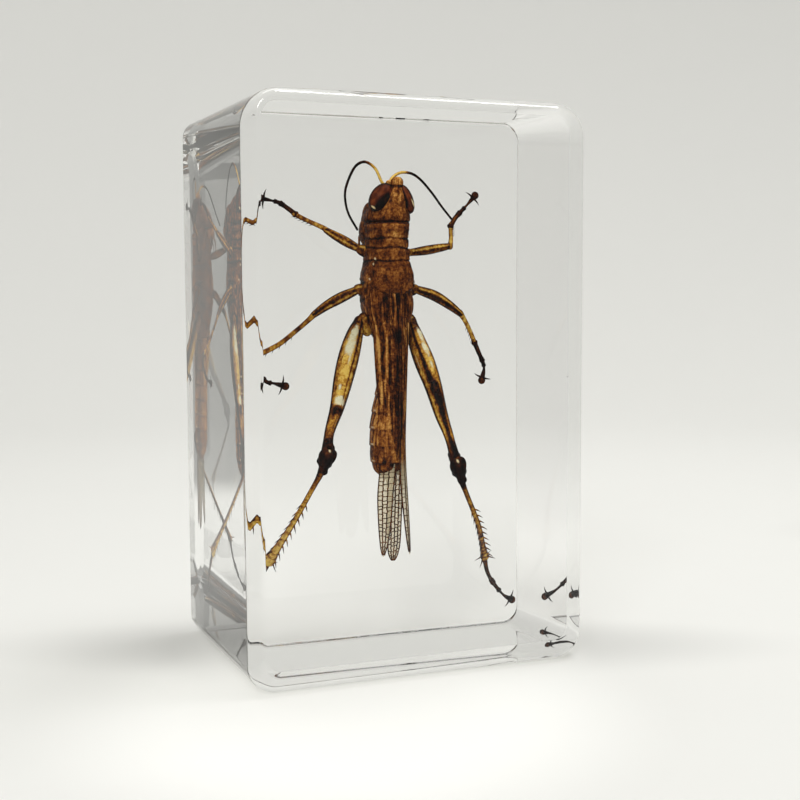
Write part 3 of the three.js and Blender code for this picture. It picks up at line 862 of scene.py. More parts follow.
def saddleTone(z, angle):
    turn = gap(angle, -half)
    away = np.abs(turn)
    cuts = sum(bump(z + 0.09 * np.sin(turn * 4.3 + g), g, 0.12) for g in saddleLook["grooves"])
    disc = 0.5 + 0.06 * np.sin(z * 4.1) + 0.06 * ramp(z, 52.9, 51.8)
    patch = -0.22 * bump(z, 56.1, 0.85) * bump(turn, 0.1, 0.42)
    blots = 0.3 * bump(z, 56.4, 1.0) * bump(np.abs(turn - 0.05), 0.66, 0.13)
    edge = bump(away, saddleLook["ridgeTurn"], 0.08) * (0.65 + 0.35 * np.sin(z * 5.3 + turn))
    # painted glints along the sides
    gold = 0.3 * bump(away, 1.2, 0.08) * np.sin(z * 2.2) ** 2
    sides = 0.3 * edge + 0.08 * ramp(away, 0.9, 1.0) - gold
    veins = 0.12 * bump(away, 0.35 + 0.05 * np.sin(z * 6), 0.04) * ramp(z, 53.2, 52.4)
    # painted shade darkens the grooves and the front edge by the head
    return disc + patch + blots + sides + veins + 0.5 * np.minimum(cuts, 1) + 0.4 * bump(z, 58.0, 0.1)


def saddleSlant(z, angle):
    # the hind edge reaches furthest down in the middle of the back
    turn = np.abs(gap(angle, -half))
    return ramp(z, 52.5, 49.5) * saddleLook["rearLobe"] * (ramp(turn, 0.2, 1.7) - 0.45)


def saddlePaintedGlints(z, angle):
    # painted glints beside the grooves
    turn = gap(angle, -half)
    glints = saddleLook["glints"]
    return sum(0.95 * bump(z, height, 0.2) * bump(turn, place, 0.06) for height, place in glints)


thoraxSections = [
    [53.4, 0.5, 7.6, 2.2, 4.2],
    [51.0, 0.45, 7.6, 3.15, 4.8],
    [48.8, 0.45, 7.3, 3.48, 4.95],
    [47.0, 0.5, 7.0, 3.55, 4.85],
    [45.0, 0.5, 6.6, 3.05, 4.35],
    [43.2, 0.5, 6.2, 2.3, 3.6],
    [42.2, 0.5, 5.9, 1.7, 2.9],
]
thoraxLook = {
    "seams": (50.0, 47.7, 45.4),    # slanting seams between the side plates
    "seamSlope": 1.1,
    "seamDepth": 0.14,
    "seamWidth": 0.14,
    "seamDark": 0.3,
    "seamShadeWidth": 0.2,
}


def thoraxSeams(z, side, width):
    slanted = z + thoraxLook["seamSlope"] * (side - 1.6)
    return sum(bump(slanted, seam, width) for seam in thoraxLook["seams"])


def thoraxRelief(z, angle):
    side = np.abs(gap(angle, -half))
    seams = thoraxSeams(z, side, thoraxLook["seamWidth"])
    plates = -thoraxLook["seamDepth"] * seams * ramp(side, 0.9, 1.3)
    breast = -0.12 * (bump(z, 50.6, 0.12) + bump(z, 47.2, 0.12)) * ramp(side, 2.3, 2.7)
    keel = -0.1 * bump(np.abs(gap(angle, half)), 0.42, 0.05)
    return plates + breast + keel


def thoraxTone(z, angle):
    side = np.abs(gap(angle, -half))
    # painted shade in the slanting seams, and painted highlights in lighter bands along the sides
    seams = np.minimum(thoraxSeams(z, side, thoraxLook["seamShadeWidth"]), 1)
    glow = -0.4 * bump(side, 1.3, 0.07) * (0.4 + 0.6 * np.sin(z * 3.3)) - 0.25 * bump(side, 0.95, 0.05)
    return 0.64 + thoraxLook["seamDark"] * seams * ramp(side, 0.9, 1.3) + glow


abdomenLook = {
    "top": 44.0,
    "tip": 23.6,
    "rings": 9,
    "overlap": 0.14,
    "sections": 18,
    "middleX": 0.25,         # of its lower end, where the feelers and valves are
}


def abdomenRows():
    rows = []
    for i in range(abdomenLook["sections"] + 1):
        t = i / abdomenLook["sections"]
        z = abdomenLook["top"] - t * (abdomenLook["top"] - abdomenLook["tip"])
        swell = math.sin(math.pi * min(1, 0.1 + 0.7 * t))
        x = 0.7 - 0.75 * ramp(t, 0.15, 0.7)
        wide = 1.3 + 0.95 * ramp(t, 0.2, 0.72)
        deep = 2.2 + 0.8 * swell
        end = math.sqrt(max(0.03, 1 - max(0, (t - 0.8) / 0.2) ** 2.4))
        rows.append([z, x, 6.0 - 0.9 * t, wide * end, deep * end])
    return rows


def abdomenPhase(z):
    length = (abdomenLook["top"] - abdomenLook["tip"]) / abdomenLook["rings"]
    return ((abdomenLook["top"] - z) / length) % 1


def abdomenRelief(z, angle):
    phase = abdomenPhase(z)
    step = abdomenLook["overlap"] * (phase ** 0.7) * (1 - ramp(phase, 0.93, 1.0))
    side = np.abs(gap(angle, -half))
    pleat = -0.16 * bump(side, 2.05, 0.07)
    return step + pleat + 0.05 * bump(gap(angle, -half), 0, 0.08)


def abdomenTone(z, angle):
    phase = abdomenPhase(z)
    side = np.abs(gap(angle, -half))
    # the joins between rings are darker, painted shade under each ring's edge
    band = 0.22 * bump(phase, 0.02, 0.08) + 0.22 * bump(phase, 0.98, 0.05)
    belly = -0.14 * ramp(side, 2.1, 2.4)
    return 0.45 + band + belly + 0.2 * ramp(z, 29, 24) - 0.12 * bump(side, 1.0, 0.3)


def abdomenPaintedHighlights(z, angle):
    phase = abdomenPhase(z)
    side = np.abs(gap(angle, -half))
    # painted highlights on each ring a little before its edge
    return 0.7 * bump(phase, 0.84, 0.06) * bump(side, 1.35, 0.3)


def makeTrunk():
    saddle = newShape()
    addTrunk(saddle, saddleSections, 96, 12, saddleRelief, saddleTone, saddlePaintedGlints, saddleSlant)
    insectPiece(saddle, "saddle", saddleShell)
    thorax = newShape()
    addTrunk(thorax, thoraxSections, 72, 10, thoraxRelief, thoraxTone)
    insectPiece(thorax, "thorax", bodyShell)
    abdomen = newShape()
    addTrunk(abdomen, abdomenRows(), 64, 8, abdomenRelief, abdomenTone, abdomenPaintedHighlights)
    for hand in (-1, 1):
        # feelers and the four valves at the end of the abdomen
        x = abdomenLook["middleX"]
        foot = (x + 0.75 * hand, 3.7, 24.9)
        addSpike(abdomen, foot, (0.5 * hand, -0.3, -1), 0.9, 0.2, tones=(0.5, 0.7))
        for y, bend in ((4.4, -0.35), (5.6, 0.35)):
            foot, bend = (x + 0.4 * hand, y, 24.6), (0.1 * hand, bend, 0)
            addSpike(abdomen, foot, (0.1 * hand, 0, -1), 1.7, 0.36, bend, (0.55, 0.95), 8)
    insectPiece(abdomen, "abdomen", bodyShell)


makeTrunk()
print("trunk made")


# wings: each sheet is a row of sections from one long edge to the other

wings = {
    "wing_left": {
        # z, edge x, edge y, other edge x, other edge y, arch
        "sections": [
            [49.9, -1.3, 4.2, 1.2, 2.15, 0.35],
            [48.6, -2.3, 4.6, 1.4, 1.95, 0.6],
            [46.5, -2.6, 5.0, 1.5, 1.75, 0.8],
            [43.5, -2.1, 4.7, 1.4, 1.55, 0.75],
            [39.0, -1.95, 4.1, 1.2, 1.65, 0.55],
            [35.5, -1.75, 3.8, 1.05, 1.8, 0.45],
            [32.5, -1.25, 3.7, 0.95, 1.9, 0.42],
            [29.0, -1.1, 3.8, 0.8, 2.1, 0.4],
            [25.0, -1.4, 4.1, 0.5, 2.7, 0.3],
            [21.5, -1.75, 4.05, 0.25, 3.2, 0.2],
            [18.0, -1.7, 4.0, 0.0, 3.45, 0.15],
            [15.0, -1.5, 3.9, -0.45, 3.55, 0.1],
            [13.6, -1.3, 3.7, -0.85, 3.6, 0.04],
            [13.1, -1.12, 3.65, -1.06, 3.63, 0.0],
        ],
        "veins": 4,
    },
    "wing_right": {
        "sections": [
            [49.9, -0.3, 2.2, 2.4, 4.2, 0.35],
            [48.6, -0.5, 1.95, 3.2, 4.6, 0.6],
            [46.5, -0.5, 1.7, 3.45, 5.0, 0.85],
            [43.5, 0.1, 1.5, 3.0, 4.9, 0.8],
            [39.0, 0.8, 1.55, 2.7, 4.5, 0.5],
            [34.0, 0.9, 1.75, 2.5, 4.4, 0.4],
            [29.0, 0.95, 2.0, 2.35, 4.4, 0.35],
            [25.0, 1.15, 2.7, 2.45, 4.5, 0.25],
            [21.5, 1.5, 3.3, 2.65, 4.5, 0.18],
            [18.0, 1.95, 3.6, 2.85, 4.5, 0.1],
            [15.0, 2.4, 3.9, 2.95, 4.4, 0.06],
            [13.6, 2.7, 4.1, 2.95, 4.3, 0.02],
            [13.1, 2.86, 4.18, 2.92, 4.22, 0.0],
        ],
        "veins": 3,
    },
    "hindwing": {
        "sections": [
            [31.0, -0.4, 3.1, 1.9, 3.2, 0.2],
            [28.0, -0.6, 3.3, 1.95, 3.4, 0.3],
            [24.5, -0.5, 3.6, 1.9, 3.7, 0.3],
            [21.0, -0.45, 3.8, 1.75, 3.9, 0.25],
            [18.0, -0.45, 3.85, 1.6, 3.9, 0.2],
            [15.0, -0.45, 3.8, 1.4, 3.85, 0.15],
            [13.6, -0.35, 3.8, 1.1, 3.8, 0.1],
            [12.8, -0.05, 3.8, 0.75, 3.8, 0.05],
            [12.45, 0.25, 3.8, 0.4, 3.8, 0.0],
        ],
        "veins": 5,
    },
}
wingRules = {
    "across": 26,
    "perSpan": 8,
    "thickness": 0.05,
    "veinRadius": 0.1,
    "crossRadius": 0.082,
    "veinTone": 0.74,
    "wander": 0.022,         # how far the inner veins sway
    "cellLength": 0.68,
    "cellRange": (0.6, 1.4),
    "cellSlant": 0.16,
    "edgeInset": 0.02,       # of the outer veins, as a share of the width
    "narrowest": 0.25,       # the long veins end where a sheet is narrower than this
    "tipRoom": 0.9,
    "shortest": 0.1,
    "clearFrom": 26.8,
    "clearTo": 23.6,
}


def wingPoint(row, s):
    # the point across a section at s, from 0 to 1, arched towards the back of the insect
    z, xa, ya, xb, yb, arch = row
    edge = np.array([xb - xa, yb - ya])
    out = np.array([edge[1], -edge[0]]) / max(np.linalg.norm(edge), 1e-6)
    lift = arch * 4 * s * (1 - s)
    return np.array([xa + edge[0] * s + out[0] * lift, ya + edge[1] * s + out[1] * lift, z])


def wingTone(name, z, s):
    streak = 0.15 * math.sin(s * 23) + 0.13 * math.sin(s * 41 + z * 0.2)
    dark = 0.0
    if name == "wing_left":
        dark = 0.34 * ramp(s, 0.5, 0.75) - 0.34 * bump(s, 0.2, 0.07) * ramp(z, 46, 41)
        dark += 0.3 * bump(s, 0.4, 0.06) * ramp(z, 36, 39)
    elif name == "wing_right":
        high = 1 - 0.7 * ramp(z, 39, 44)
        dark = 0.5 * high * ramp(s, 0.4, 0.12) * ramp(z, 28, 31) - 0.24 * bump(s, 0.7, 0.16)
        dark += 0.3 * ramp(s, 0.85, 1.0)
    return 0.5 + streak + dark - 0.1 * ramp(z, 41, 45)


def makeWing(name, wing):
    rows = smoothRows(wing["sections"], wingRules["perSpan"])
    sheet = newShape()
    across = wingRules["across"]
    spots = np.linspace(0, 1, across)
    grid = np.array([[wingPoint(row, s) for s in spots] for row in rows])
    tones = np.array([[wingTone(name, row[0], s) for s in spots] for row in rows])
    clear = ramp(rows[:, :1], wingRules["clearFrom"], wingRules["clearTo"]) + 0 * tones
    addRings(sheet, grid, tones, clear, caps=False, closed=False)
    piece = insectPiece(sheet, name, wingMembrane)
    thick = piece.modifiers.new("thickness", "SOLIDIFY")
    thick.thickness = wingRules["thickness"] * mm
    thick.offset = 0
    # veins: long ones down the wing, short ones between them at uneven steps
    net = newShape()
    widths = np.array([np.hypot(row[3] - row[1], row[4] - row[2]) for row in rows])
    keep = widths > wingRules["narrowest"]
    last = wing["veins"] - 1
    inset = wingRules["edgeInset"]
    lines = [inset + (1 - 2 * inset) * k / last for k in range(last + 1)]
    for k, s in enumerate(lines):
        inner = wingRules["wander"] * (0 < k < last)
        points = np.array([wingPoint(row, s + inner * math.sin(9 * row[0] + 2 * k)) for row in rows])
        addVein(net, points[keep], wingRules["veinRadius"])
    for a, b in zip(lines, lines[1:]):
        z = rows[2, 0]
        while z > rows[-1, 0] + wingRules["tipRoom"]:
            z -= wingRules["cellLength"] * dice.uniform(*wingRules["cellRange"])
            lower = z + dice.uniform(-wingRules["cellSlant"], wingRules["cellSlant"])
            rowA, rowB = (
                [np.interp(-height, -rows[:, 0], rows[:, i]) for i in range(6)]
                for height in (z, lower)
            )
            points = np.array([wingPoint(rowA, a), wingPoint(rowB, b)])
            if np.linalg.norm(points[1] - points[0]) > wingRules["shortest"]:
                addVein(net, points, wingRules["crossRadius"])
    insectPiece(net, name + "_veins", darkShell)


def addVein(shape, points, radius):
    # a thin four-sided thread, leaned a little so that no vein runs straight along the lean
    side, deep = pathFrames(points, (0.13, 1, 0.07))[1:]
    addRings(shape, ringsAlong(points, side, deep, radius, radius, turnsRound(4)), wingRules["veinTone"])


for name, wing in wings.items():
    makeWing(name, wing)
print("wings made")


# legs: x, y, z, radius, tone for each joint, from the hip outward

legs = {
    "fore_left": {
        "hip": [
            [0.2, 7.6, 53.6, 1.2, 0.7], [-2.6, 8.2, 54.5, 0.82, 0.68], [-3.1, 8.5, 54.7, 0.55, 0.7],
        ],
        "thigh": [
            [-2.9, 8.3, 54.55, 0.45, 0.5], [-4.6, 9.4, 55.6, 0.66, 0.4], [-6.2, 10.5, 56.6, 0.56, 0.42],
            [-7.1, 11.2, 57.2, 0.42, 0.6],
        ],
        "shin": [
            [-6.9, 11.1, 57.1, 0.42, 0.75], [-7.6, 11.4, 57.6, 0.34, 0.4], [-9.6, 11.9, 58.5, 0.3, 0.5],
            [-11.4, 12.3, 59.4, 0.34, 0.55],
        ],
        "foot": [
            [-11.1, 12.3, 59.3, 0.32, 0.6], [-12.2, 12.4, 60.1, 0.3, 0.7],
            [-13.3, 12.5, 60.8, 0.26, 0.75], [-14.5, 12.5, 61.1, 0.2, 0.8],
            [-15.6, 12.5, 61.3, 0.22, 0.85],
        ],
    },
    "fore_right": {
        "hip": [[1.2, 7.6, 53.4, 1.2, 0.7], [3.4, 8.2, 54.1, 0.78, 0.68], [4.2, 8.5, 54.3, 0.5, 0.65]],
        "thigh": [
            [3.8, 8.4, 54.2, 0.45, 0.5], [6.8, 9.8, 54.6, 0.64, 0.35], [9.2, 10.7, 55.0, 0.58, 0.4],
            [11.0, 11.3, 55.3, 0.42, 0.55],
        ],
        "shin": [
            [10.95, 11.2, 55.2, 0.42, 0.5], [11.15, 11.4, 56.2, 0.32, 0.35],
            [11.2, 11.7, 57.3, 0.3, 0.35], [11.3, 12.0, 58.3, 0.36, 0.5],
        ],
        "foot": [
            [11.2, 11.9, 58.0, 0.34, 0.6], [12.0, 12.2, 59.2, 0.32, 0.65],
            [12.9, 12.4, 60.1, 0.28, 0.7], [14.0, 12.5, 61.2, 0.2, 0.7], [14.9, 12.5, 62.2, 0.24, 0.85],
        ],
    },
    "mid_left": {
        "hip": [
            [0.0, 7.8, 48.6, 1.2, 0.7], [-3.0, 8.0, 49.2, 0.85, 0.66], [-3.7, 8.2, 49.1, 0.55, 0.6],
        ],
        "thigh": [
            [-3.4, 8.1, 49.2, 0.55, 0.45], [-5.6, 8.6, 48.2, 0.74, 0.45], [-7.6, 9.1, 47.1, 0.64, 0.5],
            [-9.3, 9.5, 45.9, 0.45, 0.6],
        ],
        "shin": [
            [-9.1, 9.45, 46.1, 0.46, 0.35], [-10.2, 9.8, 45.0, 0.34, 0.6],
            [-12.2, 10.4, 43.3, 0.32, 0.5], [-14.0, 11.0, 41.9, 0.34, 0.45],
            [-17.0, 11.5, 40.4, 0.36, 0.4],
        ],
        "foot": [
            [-16.9, 11.5, 40.6, 0.3, 0.6], [-17.1, 11.5, 38.8, 0.28, 0.7],
            [-15.8, 11.0, 37.1, 0.26, 0.8], [-14.6, 10.75, 36.75, 0.22, 0.85],
            [-13.5, 10.5, 36.45, 0.28, 0.9],
        ],
    },
    "mid_right": {
        "hip": [[1.4, 7.8, 48.6, 1.2, 0.7], [4.4, 8.0, 49.2, 0.85, 0.66], [5.2, 8.2, 49.2, 0.55, 0.6]],
        "thigh": [
            [4.9, 8.1, 49.3, 0.55, 0.45], [7.8, 8.6, 48.4, 0.74, 0.42], [10.2, 9.1, 47.1, 0.64, 0.5],
            [12.1, 9.5, 45.8, 0.44, 0.55],
        ],
        "shin": [
            [11.95, 9.45, 46.0, 0.45, 0.4], [12.8, 9.8, 44.9, 0.33, 0.3],
            [13.9, 10.4, 43.1, 0.32, 0.35], [14.7, 11.0, 41.6, 0.34, 0.5],
        ],
        "foot": [
            [14.6, 10.95, 41.8, 0.33, 0.65], [15.3, 11.0, 40.3, 0.3, 0.7],
            [15.9, 11.0, 39.0, 0.27, 0.75], [16.1, 11.0, 38.0, 0.22, 0.8],
            [15.7, 10.6, 36.7, 0.28, 0.9],
        ],
    },
    "hind_left": {
        "hip": [
            [0.2, 7.6, 44.9, 1.4, 0.66], [-2.3, 7.2, 45.2, 1.2, 0.62], [-2.9, 6.8, 44.5, 1.0, 0.55],
            [-2.5, 6.5, 43.7, 0.75, 0.42],
        ],
        "thigh": [
            [-3.5, 6.9, 45.0, 0.75, 0.6], [-4.5, 5.9, 42.8, 1.18, 0.34], [-5.6, 4.4, 40.3, 1.4, 0.17],
            [-6.8, 2.6, 37.4, 1.3, 0.17], [-8.2, 0.3, 33.9, 0.93, 0.26],
            [-9.75, -2.1, 31.0, 0.64, 0.38], [-10.5, -3.8, 28.8, 0.74, 0.85],
        ],
        "knee": [
            [-10.25, -3.2, 29.2, 0.72, 0.9], [-10.6, -4.2, 28.0, 0.98, 1.0],
            [-10.95, -4.4, 27.1, 0.98, 1.0], [-11.3, -4.4, 26.1, 0.6, 1.0],
        ],
        "shin": [
            [-11.1, -4.6, 27.0, 0.6, 1.0], [-11.7, -4.3, 25.4, 0.42, 0.9],
            [-12.3, -3.2, 23.9, 0.34, 0.45], [-13.9, 2.0, 19.0, 0.38, 0.2],
            [-15.3, 6.4, 15.2, 0.54, 0.02], [-16.1, 8.4, 13.3, 0.9, 0.0],
        ],
        "foot": [
            [-16.1, 8.3, 13.4, 0.42, 0.45], [-16.9, 9.1, 11.6, 0.36, 0.5],
            [-17.9, 9.4, 9.8, 0.28, 0.55], [-18.1, 9.5, 8.8, 0.22, 0.65], [-18.2, 9.6, 8.0, 0.26, 0.8],
        ],
    },
    "hind_right": {
        "hip": [[1.2, 7.6, 44.9, 1.4, 0.66], [3.4, 7.2, 45.0, 1.2, 0.62], [4.1, 6.6, 43.9, 0.85, 0.55]],
        "thigh": [
            [3.9, 6.9, 44.9, 0.75, 0.62], [4.5, 5.8, 42.2, 1.2, 0.38], [5.2, 4.2, 39.4, 1.4, 0.28],
            [5.9, 2.4, 36.3, 1.2, 0.26], [6.4, -0.2, 32.4, 0.88, 0.28], [6.9, -2.3, 29.6, 0.62, 0.34],
            [7.3, -3.8, 26.9, 0.72, 0.8],
        ],
        "knee": [
            [7.15, -3.4, 27.2, 0.72, 0.85], [7.5, -4.3, 26.0, 0.98, 1.0], [7.85, -4.5, 24.9, 0.98, 1.0],
            [8.1, -4.5, 23.8, 0.6, 1.0],
        ],
        "shin": [
            [7.8, -4.6, 24.5, 0.6, 1.0], [8.35, -4.3, 23.2, 0.42, 0.9], [9.2, -3.3, 21.7, 0.34, 0.5],
            [12.3, 1.6, 17.0, 0.37, 0.32], [14.5, 6.4, 13.0, 0.44, 0.22], [15.3, 8.2, 11.4, 0.66, 0.2],
        ],
        "foot": [
            [15.2, 8.1, 11.5, 0.36, 0.5], [15.9, 8.8, 9.0, 0.27, 0.6], [17.2, 9.5, 7.0, 0.27, 0.65],
            [18.9, 10.4, 5.2, 0.22, 0.8], [20.2, 11.0, 4.4, 0.26, 0.85],
        ],
    },
}
legRules = {
    "hindFlat": 1.2,         # depth of the hind thighs and knees against their width
    "kneeFlat": 1.1,
    "ribs": 15,
    "ribRise": 0.035,
    "spineCount": 9,
    "spineFrom": 0.36,       # along the shin, and how far they go on
    "spineSpan": 0.6,
    "spineLength": 1.0,
    "spineRadius": 0.13,
    "spurLength": 1.25,      # the four spurs at the end of a hind shin
    "spurRadius": 0.13,
    "smallSpines": 6,        # on the front and middle shins
    "smallSpineFrom": 0.45,
    "smallSpineSpan": 0.5,
    "smallSpineLength": 0.5,
    "smallSpineRadius": 0.07,
    "footParts": [(0.0, 0.46), (0.42, 0.62), (0.6, 1.0)],
    "clawLength": 1.4,
    "clawRadius": 0.18,
    "padRadius": 0.55,
    "footSwell": 1.08,
    "footDark": 0.28,
}
# marks on the hind thighs: the line has place, angle, half-width and how much, and the rest
# have place, its reach, angle, its reach and how much
# the pale marks are painted highlights
thighMarks = {
    "hind_left": {
        "line": [
            (0.0, -80, 0.14, 0.9), (0.25, -76, 0.12, 0.9), (0.45, -77, 0.1, 0.6),
            (0.7, -78, 0.08, 0.25), (1.0, -78, 0.1, 0.1),
        ],
        "dark": [
            (0.705, 0.026, -100, 0.6, 1.6), (0.745, 0.03, -125, 0.3, 0.5), (0.84, 0.09, -80, 0.6, 0.12),
            (0.08, 0.05, -150, 0.5, 0.4), (0.5, 0.2, -150, 0.16, 0.3), (0.97, 0.05, -90, 2.0, 0.4),
        ],
        "pale": [
            (0.14, 0.05, -112, 0.38, 1.4), (0.25, 0.06, -116, 0.42, 1.5), (0.36, 0.05, -100, 0.1, 0.6),
            (0.64, 0.032, -104, 0.7, 1.5), (0.55, 0.03, -120, 0.2, 0.6), (0.8, 0.09, -68, 0.1, 0.5),
        ],
    },
    "hind_right": {
        "line": [
            (0.0, -112, 0.13, 0.9), (0.15, -115, 0.12, 0.9), (0.3, -112, 0.15, 1.0),
            (0.44, -112, 0.28, 1.2), (0.52, -95, 0.62, 1.4), (0.62, -86, 0.5, 1.4),
            (0.77, -98, 0.36, 1.3), (0.92, -104, 0.28, 1.1), (1.0, -106, 0.24, 1.0),
        ],
        "dark": [
            (0.93, 0.05, -60, 0.7, 0.3), (0.06, 0.05, -60, 0.5, 0.3), (0.97, 0.05, -90, 2.0, 0.4),
            (0.7, 0.16, -143, 0.14, -0.25),
        ],
        "pale": [
            (0.14, 0.045, -66, 0.3, 1.3), (0.25, 0.045, -70, 0.28, 1.3), (0.36, 0.04, -72, 0.18, 0.8),
            (0.3, 0.1, -146, 0.07, 0.6), (0.905, 0.018, -95, 0.4, 0.9),
        ],
    },
}


def thighRelief(t, angle):
    # slanting ribs on the broad sides and a keel above and below
    across = np.abs(gap(angle, -half))
    broad = bump(across, 0.0, 0.55) + bump(across, math.pi, 0.55)
    ribs = legRules["ribRise"] * np.sin(2 * math.pi * (t * legRules["ribs"] + 0.55 * across)) * broad
    keels = 0.09 * (bump(gap(angle, 0), 0, 0.12) + bump(gap(angle, math.pi), 0, 0.12))
    edges = 0.06 * bump(across, 0.75, 0.08)
    return (ribs + keels + edges) * ramp(t, 0.03, 0.12) * ramp(t, 0.95, 0.8)


def spots(marks, t, angle):
    total = 0 * (t + angle)
    for place, length, turn, width, much in marks:
        total = total + much * bump(t, place, length) * bump(gap(angle, math.radians(turn)), 0, width)
    return total


def thighDark(name, t, angle):
    places, turns, widths, amounts = np.array(thighMarks[name]["line"]).T
    turn = gap(angle, np.radians(np.interp(t, places, turns)))
    line = np.interp(t, places, amounts) * bump(turn, 0, np.interp(t, places, widths))
    return line + spots(thighMarks[name]["dark"], t, angle)


def thighPaintedHighlights(name, t, angle):
    # painted highlights, kept off the dark marks
    pale = np.clip(spots(thighMarks[name]["pale"], t, angle), 0, 1)
    return pale * (1 - ramp(thighDark(name, t, angle), 0.1, 0.5))


def kneeRelief(t, angle):
    lobes = 0.22 * bump(np.abs(gap(angle, -half)), 0.95, 0.3) * bump(t, 0.5, 0.2)
    cut = 0.2 * bump(t, 0.3, 0.05) + 0.16 * bump(t, 0.78, 0.05)
    return lobes + 0.12 * np.sin(angle * 3 + t * 9) + 0.06 * np.sin(angle * 5 - t * 17) - cut


def shinAt(joints, t):
    rows = smoothRows(joints, 12)[:, :4]
    run = np.concatenate([[0], np.cumsum(np.linalg.norm(np.diff(rows[:, :3], axis=0), axis=1))])
    run /= run[-1]
    here = np.array([np.interp(t, run, rows[:, i]) for i in range(4)])
    ahead = np.array([np.interp(min(t + 0.02, 1), run, rows[:, i]) for i in range(3)])
    behind = np.array([np.interp(max(t - 0.02, 0), run, rows[:, i]) for i in range(3)])
    along = (ahead - behind) / np.linalg.norm(ahead - behind)
    side = np.cross(along, (0, 1, 0))
    side /= np.linalg.norm(side)
    return here, along, side, np.cross(side, along)


def addHindSpines(shape, joints):
    for k in range(legRules["spineCount"]):
        t = legRules["spineFrom"] + legRules["spineSpan"] * k / (legRules["spineCount"] - 1)
        here, along, side, deep = shinAt(joints, t)
        for hand in (-1, 1):
            out = hand * side * 0.8 - deep * 0.55
            foot = here[:3] + out * here[3] * 0.75
            length = legRules["spineLength"] * (0.75 + 0.35 * t) * dice.uniform(0.9, 1.1)
            lean, bend = out + along * 0.75, along * 0.35
            addSpike(shape, foot, lean, length, legRules["spineRadius"], bend, (0.2, 1.0))
    here, along, side, deep = shinAt(joints, 1.0)
    for hand in (-1, 1):
        for lift in (-0.5, 0.6):
            out = hand * side + deep * lift
            foot = here[:3] + out * here[3] * 0.6
            length, radius = legRules["spurLength"], legRules["spurRadius"]
            addSpike(shape, foot, out * 0.6 + along, length, radius, out * 0.3, (0.35, 1.0))


def addSmallSpines(shape, joints):
    for k in range(legRules["smallSpines"]):
        t = legRules["smallSpineFrom"] + legRules["smallSpineSpan"] * k / (legRules["smallSpines"] - 1)
        here, along, side = shinAt(joints, t)[:3]
        down = side if side[2] < 0 else -side
        foot = here[:3] + down * here[3] * 0.7
        length, radius = legRules["smallSpineLength"], legRules["smallSpineRadius"]
        addSpike(shape, foot, down + along * 0.8, length, radius, along * 0.2, (0.6, 1.0))


def footTone(t, angle):
    return -0.3 * bump(t, 0.5, 0.3) * bump(gap(angle, -half), 0.2, 0.3)


def addFoot(shape, joints):
    # three segments with pads, then two claws and the pad between them
    rows = smoothRows(joints, 8)
    rows[:, 3] *= legRules["footSwell"]
    count = len(rows) - 1
    for index, (start, end) in enumerate(legRules["footParts"]):
        part = rows[round(start * count):round(end * count) + 1].copy()
        if index == 2:
            part[:, 3] *= 0.75 + 0.5 * ramp(np.linspace(0, 1, len(part)), 0.25, 0.8)
        pads = 3 if index == 0 else 1

        def relief(t, angle, pads=pads, index=index):
            pad = 0.1 * np.abs(np.sin(t * pads * math.pi)) * bump(gap(angle, half), 0, 0.8)
            ends = 0.14 * (bump(t, 0.1, 0.07) + bump(t, 0.92, 0.08))
            return (pad if index < 2 else 0 * angle) + ends

        part[:, 4] += legRules["footDark"]
        addLimb(shape, part, 16, 2, relief=relief, tone=footTone, dark=0.5, light=0.1)
    tip = rows[-1, :3]
    along = rows[-1, :3] - rows[-3, :3]
    along /= np.linalg.norm(along)
    side = np.cross(along, (0, 1, 0))
    side /= np.linalg.norm(side)
    size, width, pad = legRules["clawLength"], legRules["clawRadius"], legRules["padRadius"]
    for hand in (-1, 1):
        lean = side * hand + along * 0.2
        addSpike(shape, tip - along * 0.15, lean, size, width, -along * 0.3, (0.9, 1.0), 8)
    # the pad between the claws is a little lighter where it faces forward, a painted highlight
    addBall(shape, tip + along * 0.35, (pad, pad * 0.8, pad),
            tone=lambda unit: 0.82 + 0.18 * ramp(-unit[..., 1], 0.8, 0.4))


def hipTone(t, angle):
    # gold glints where the hip bends
    turn = gap(angle, -half)
    left = 0.5 * bump(turn, -0.5, 0.16) * bump(t, 0.8, 0.06)
    right = 0.4 * bump(turn, 0.5, 0.14) * bump(t, 0.66, 0.05)
    return -left - right


def slimTone(t, angle):
    # a dark core with a gold streak along it on either side, partly the leg's own gold and partly
    # painted highlights
    turn = gap(angle, -half - 0.2)
    broken = 0.6 + 0.4 * np.sin(t * 13)
    streaks = 0.56 * bump(turn, 0.55, 0.22) + 0.4 * bump(turn, -0.6, 0.12) * broken
    return 0.24 + 0.2 * bump(turn, 0.0, 0.24) - streaks


def shinTone(isHind, t, angle):
    # lighter along the front, a painted highlight, with dark rings between the spines of a hind shin
    rings = 0.5 * bump((t * 27) % 1, 0.5, 0.22) * ramp(t, 0.5, 0.68) * ramp(t, 0.97, 0.93)
    light = 0.16 * bump(gap(angle, -half), 0.1, 0.4)
    return (rings if isHind else 0.1 * np.sin(t * 40)) - light


def sideRidges(rise, place, width):
    # a low ridge on both sides of a limb, place being the angle from its back
    return lambda t, angle: rise * bump(np.abs(gap(angle, -half)), place, width)


def kneePaintedHighlight(t, angle):
    # a painted highlight on the knee
    return 0.9 * bump(t, 0.42, 0.05) * bump(gap(angle, -half), 0, 0.2)


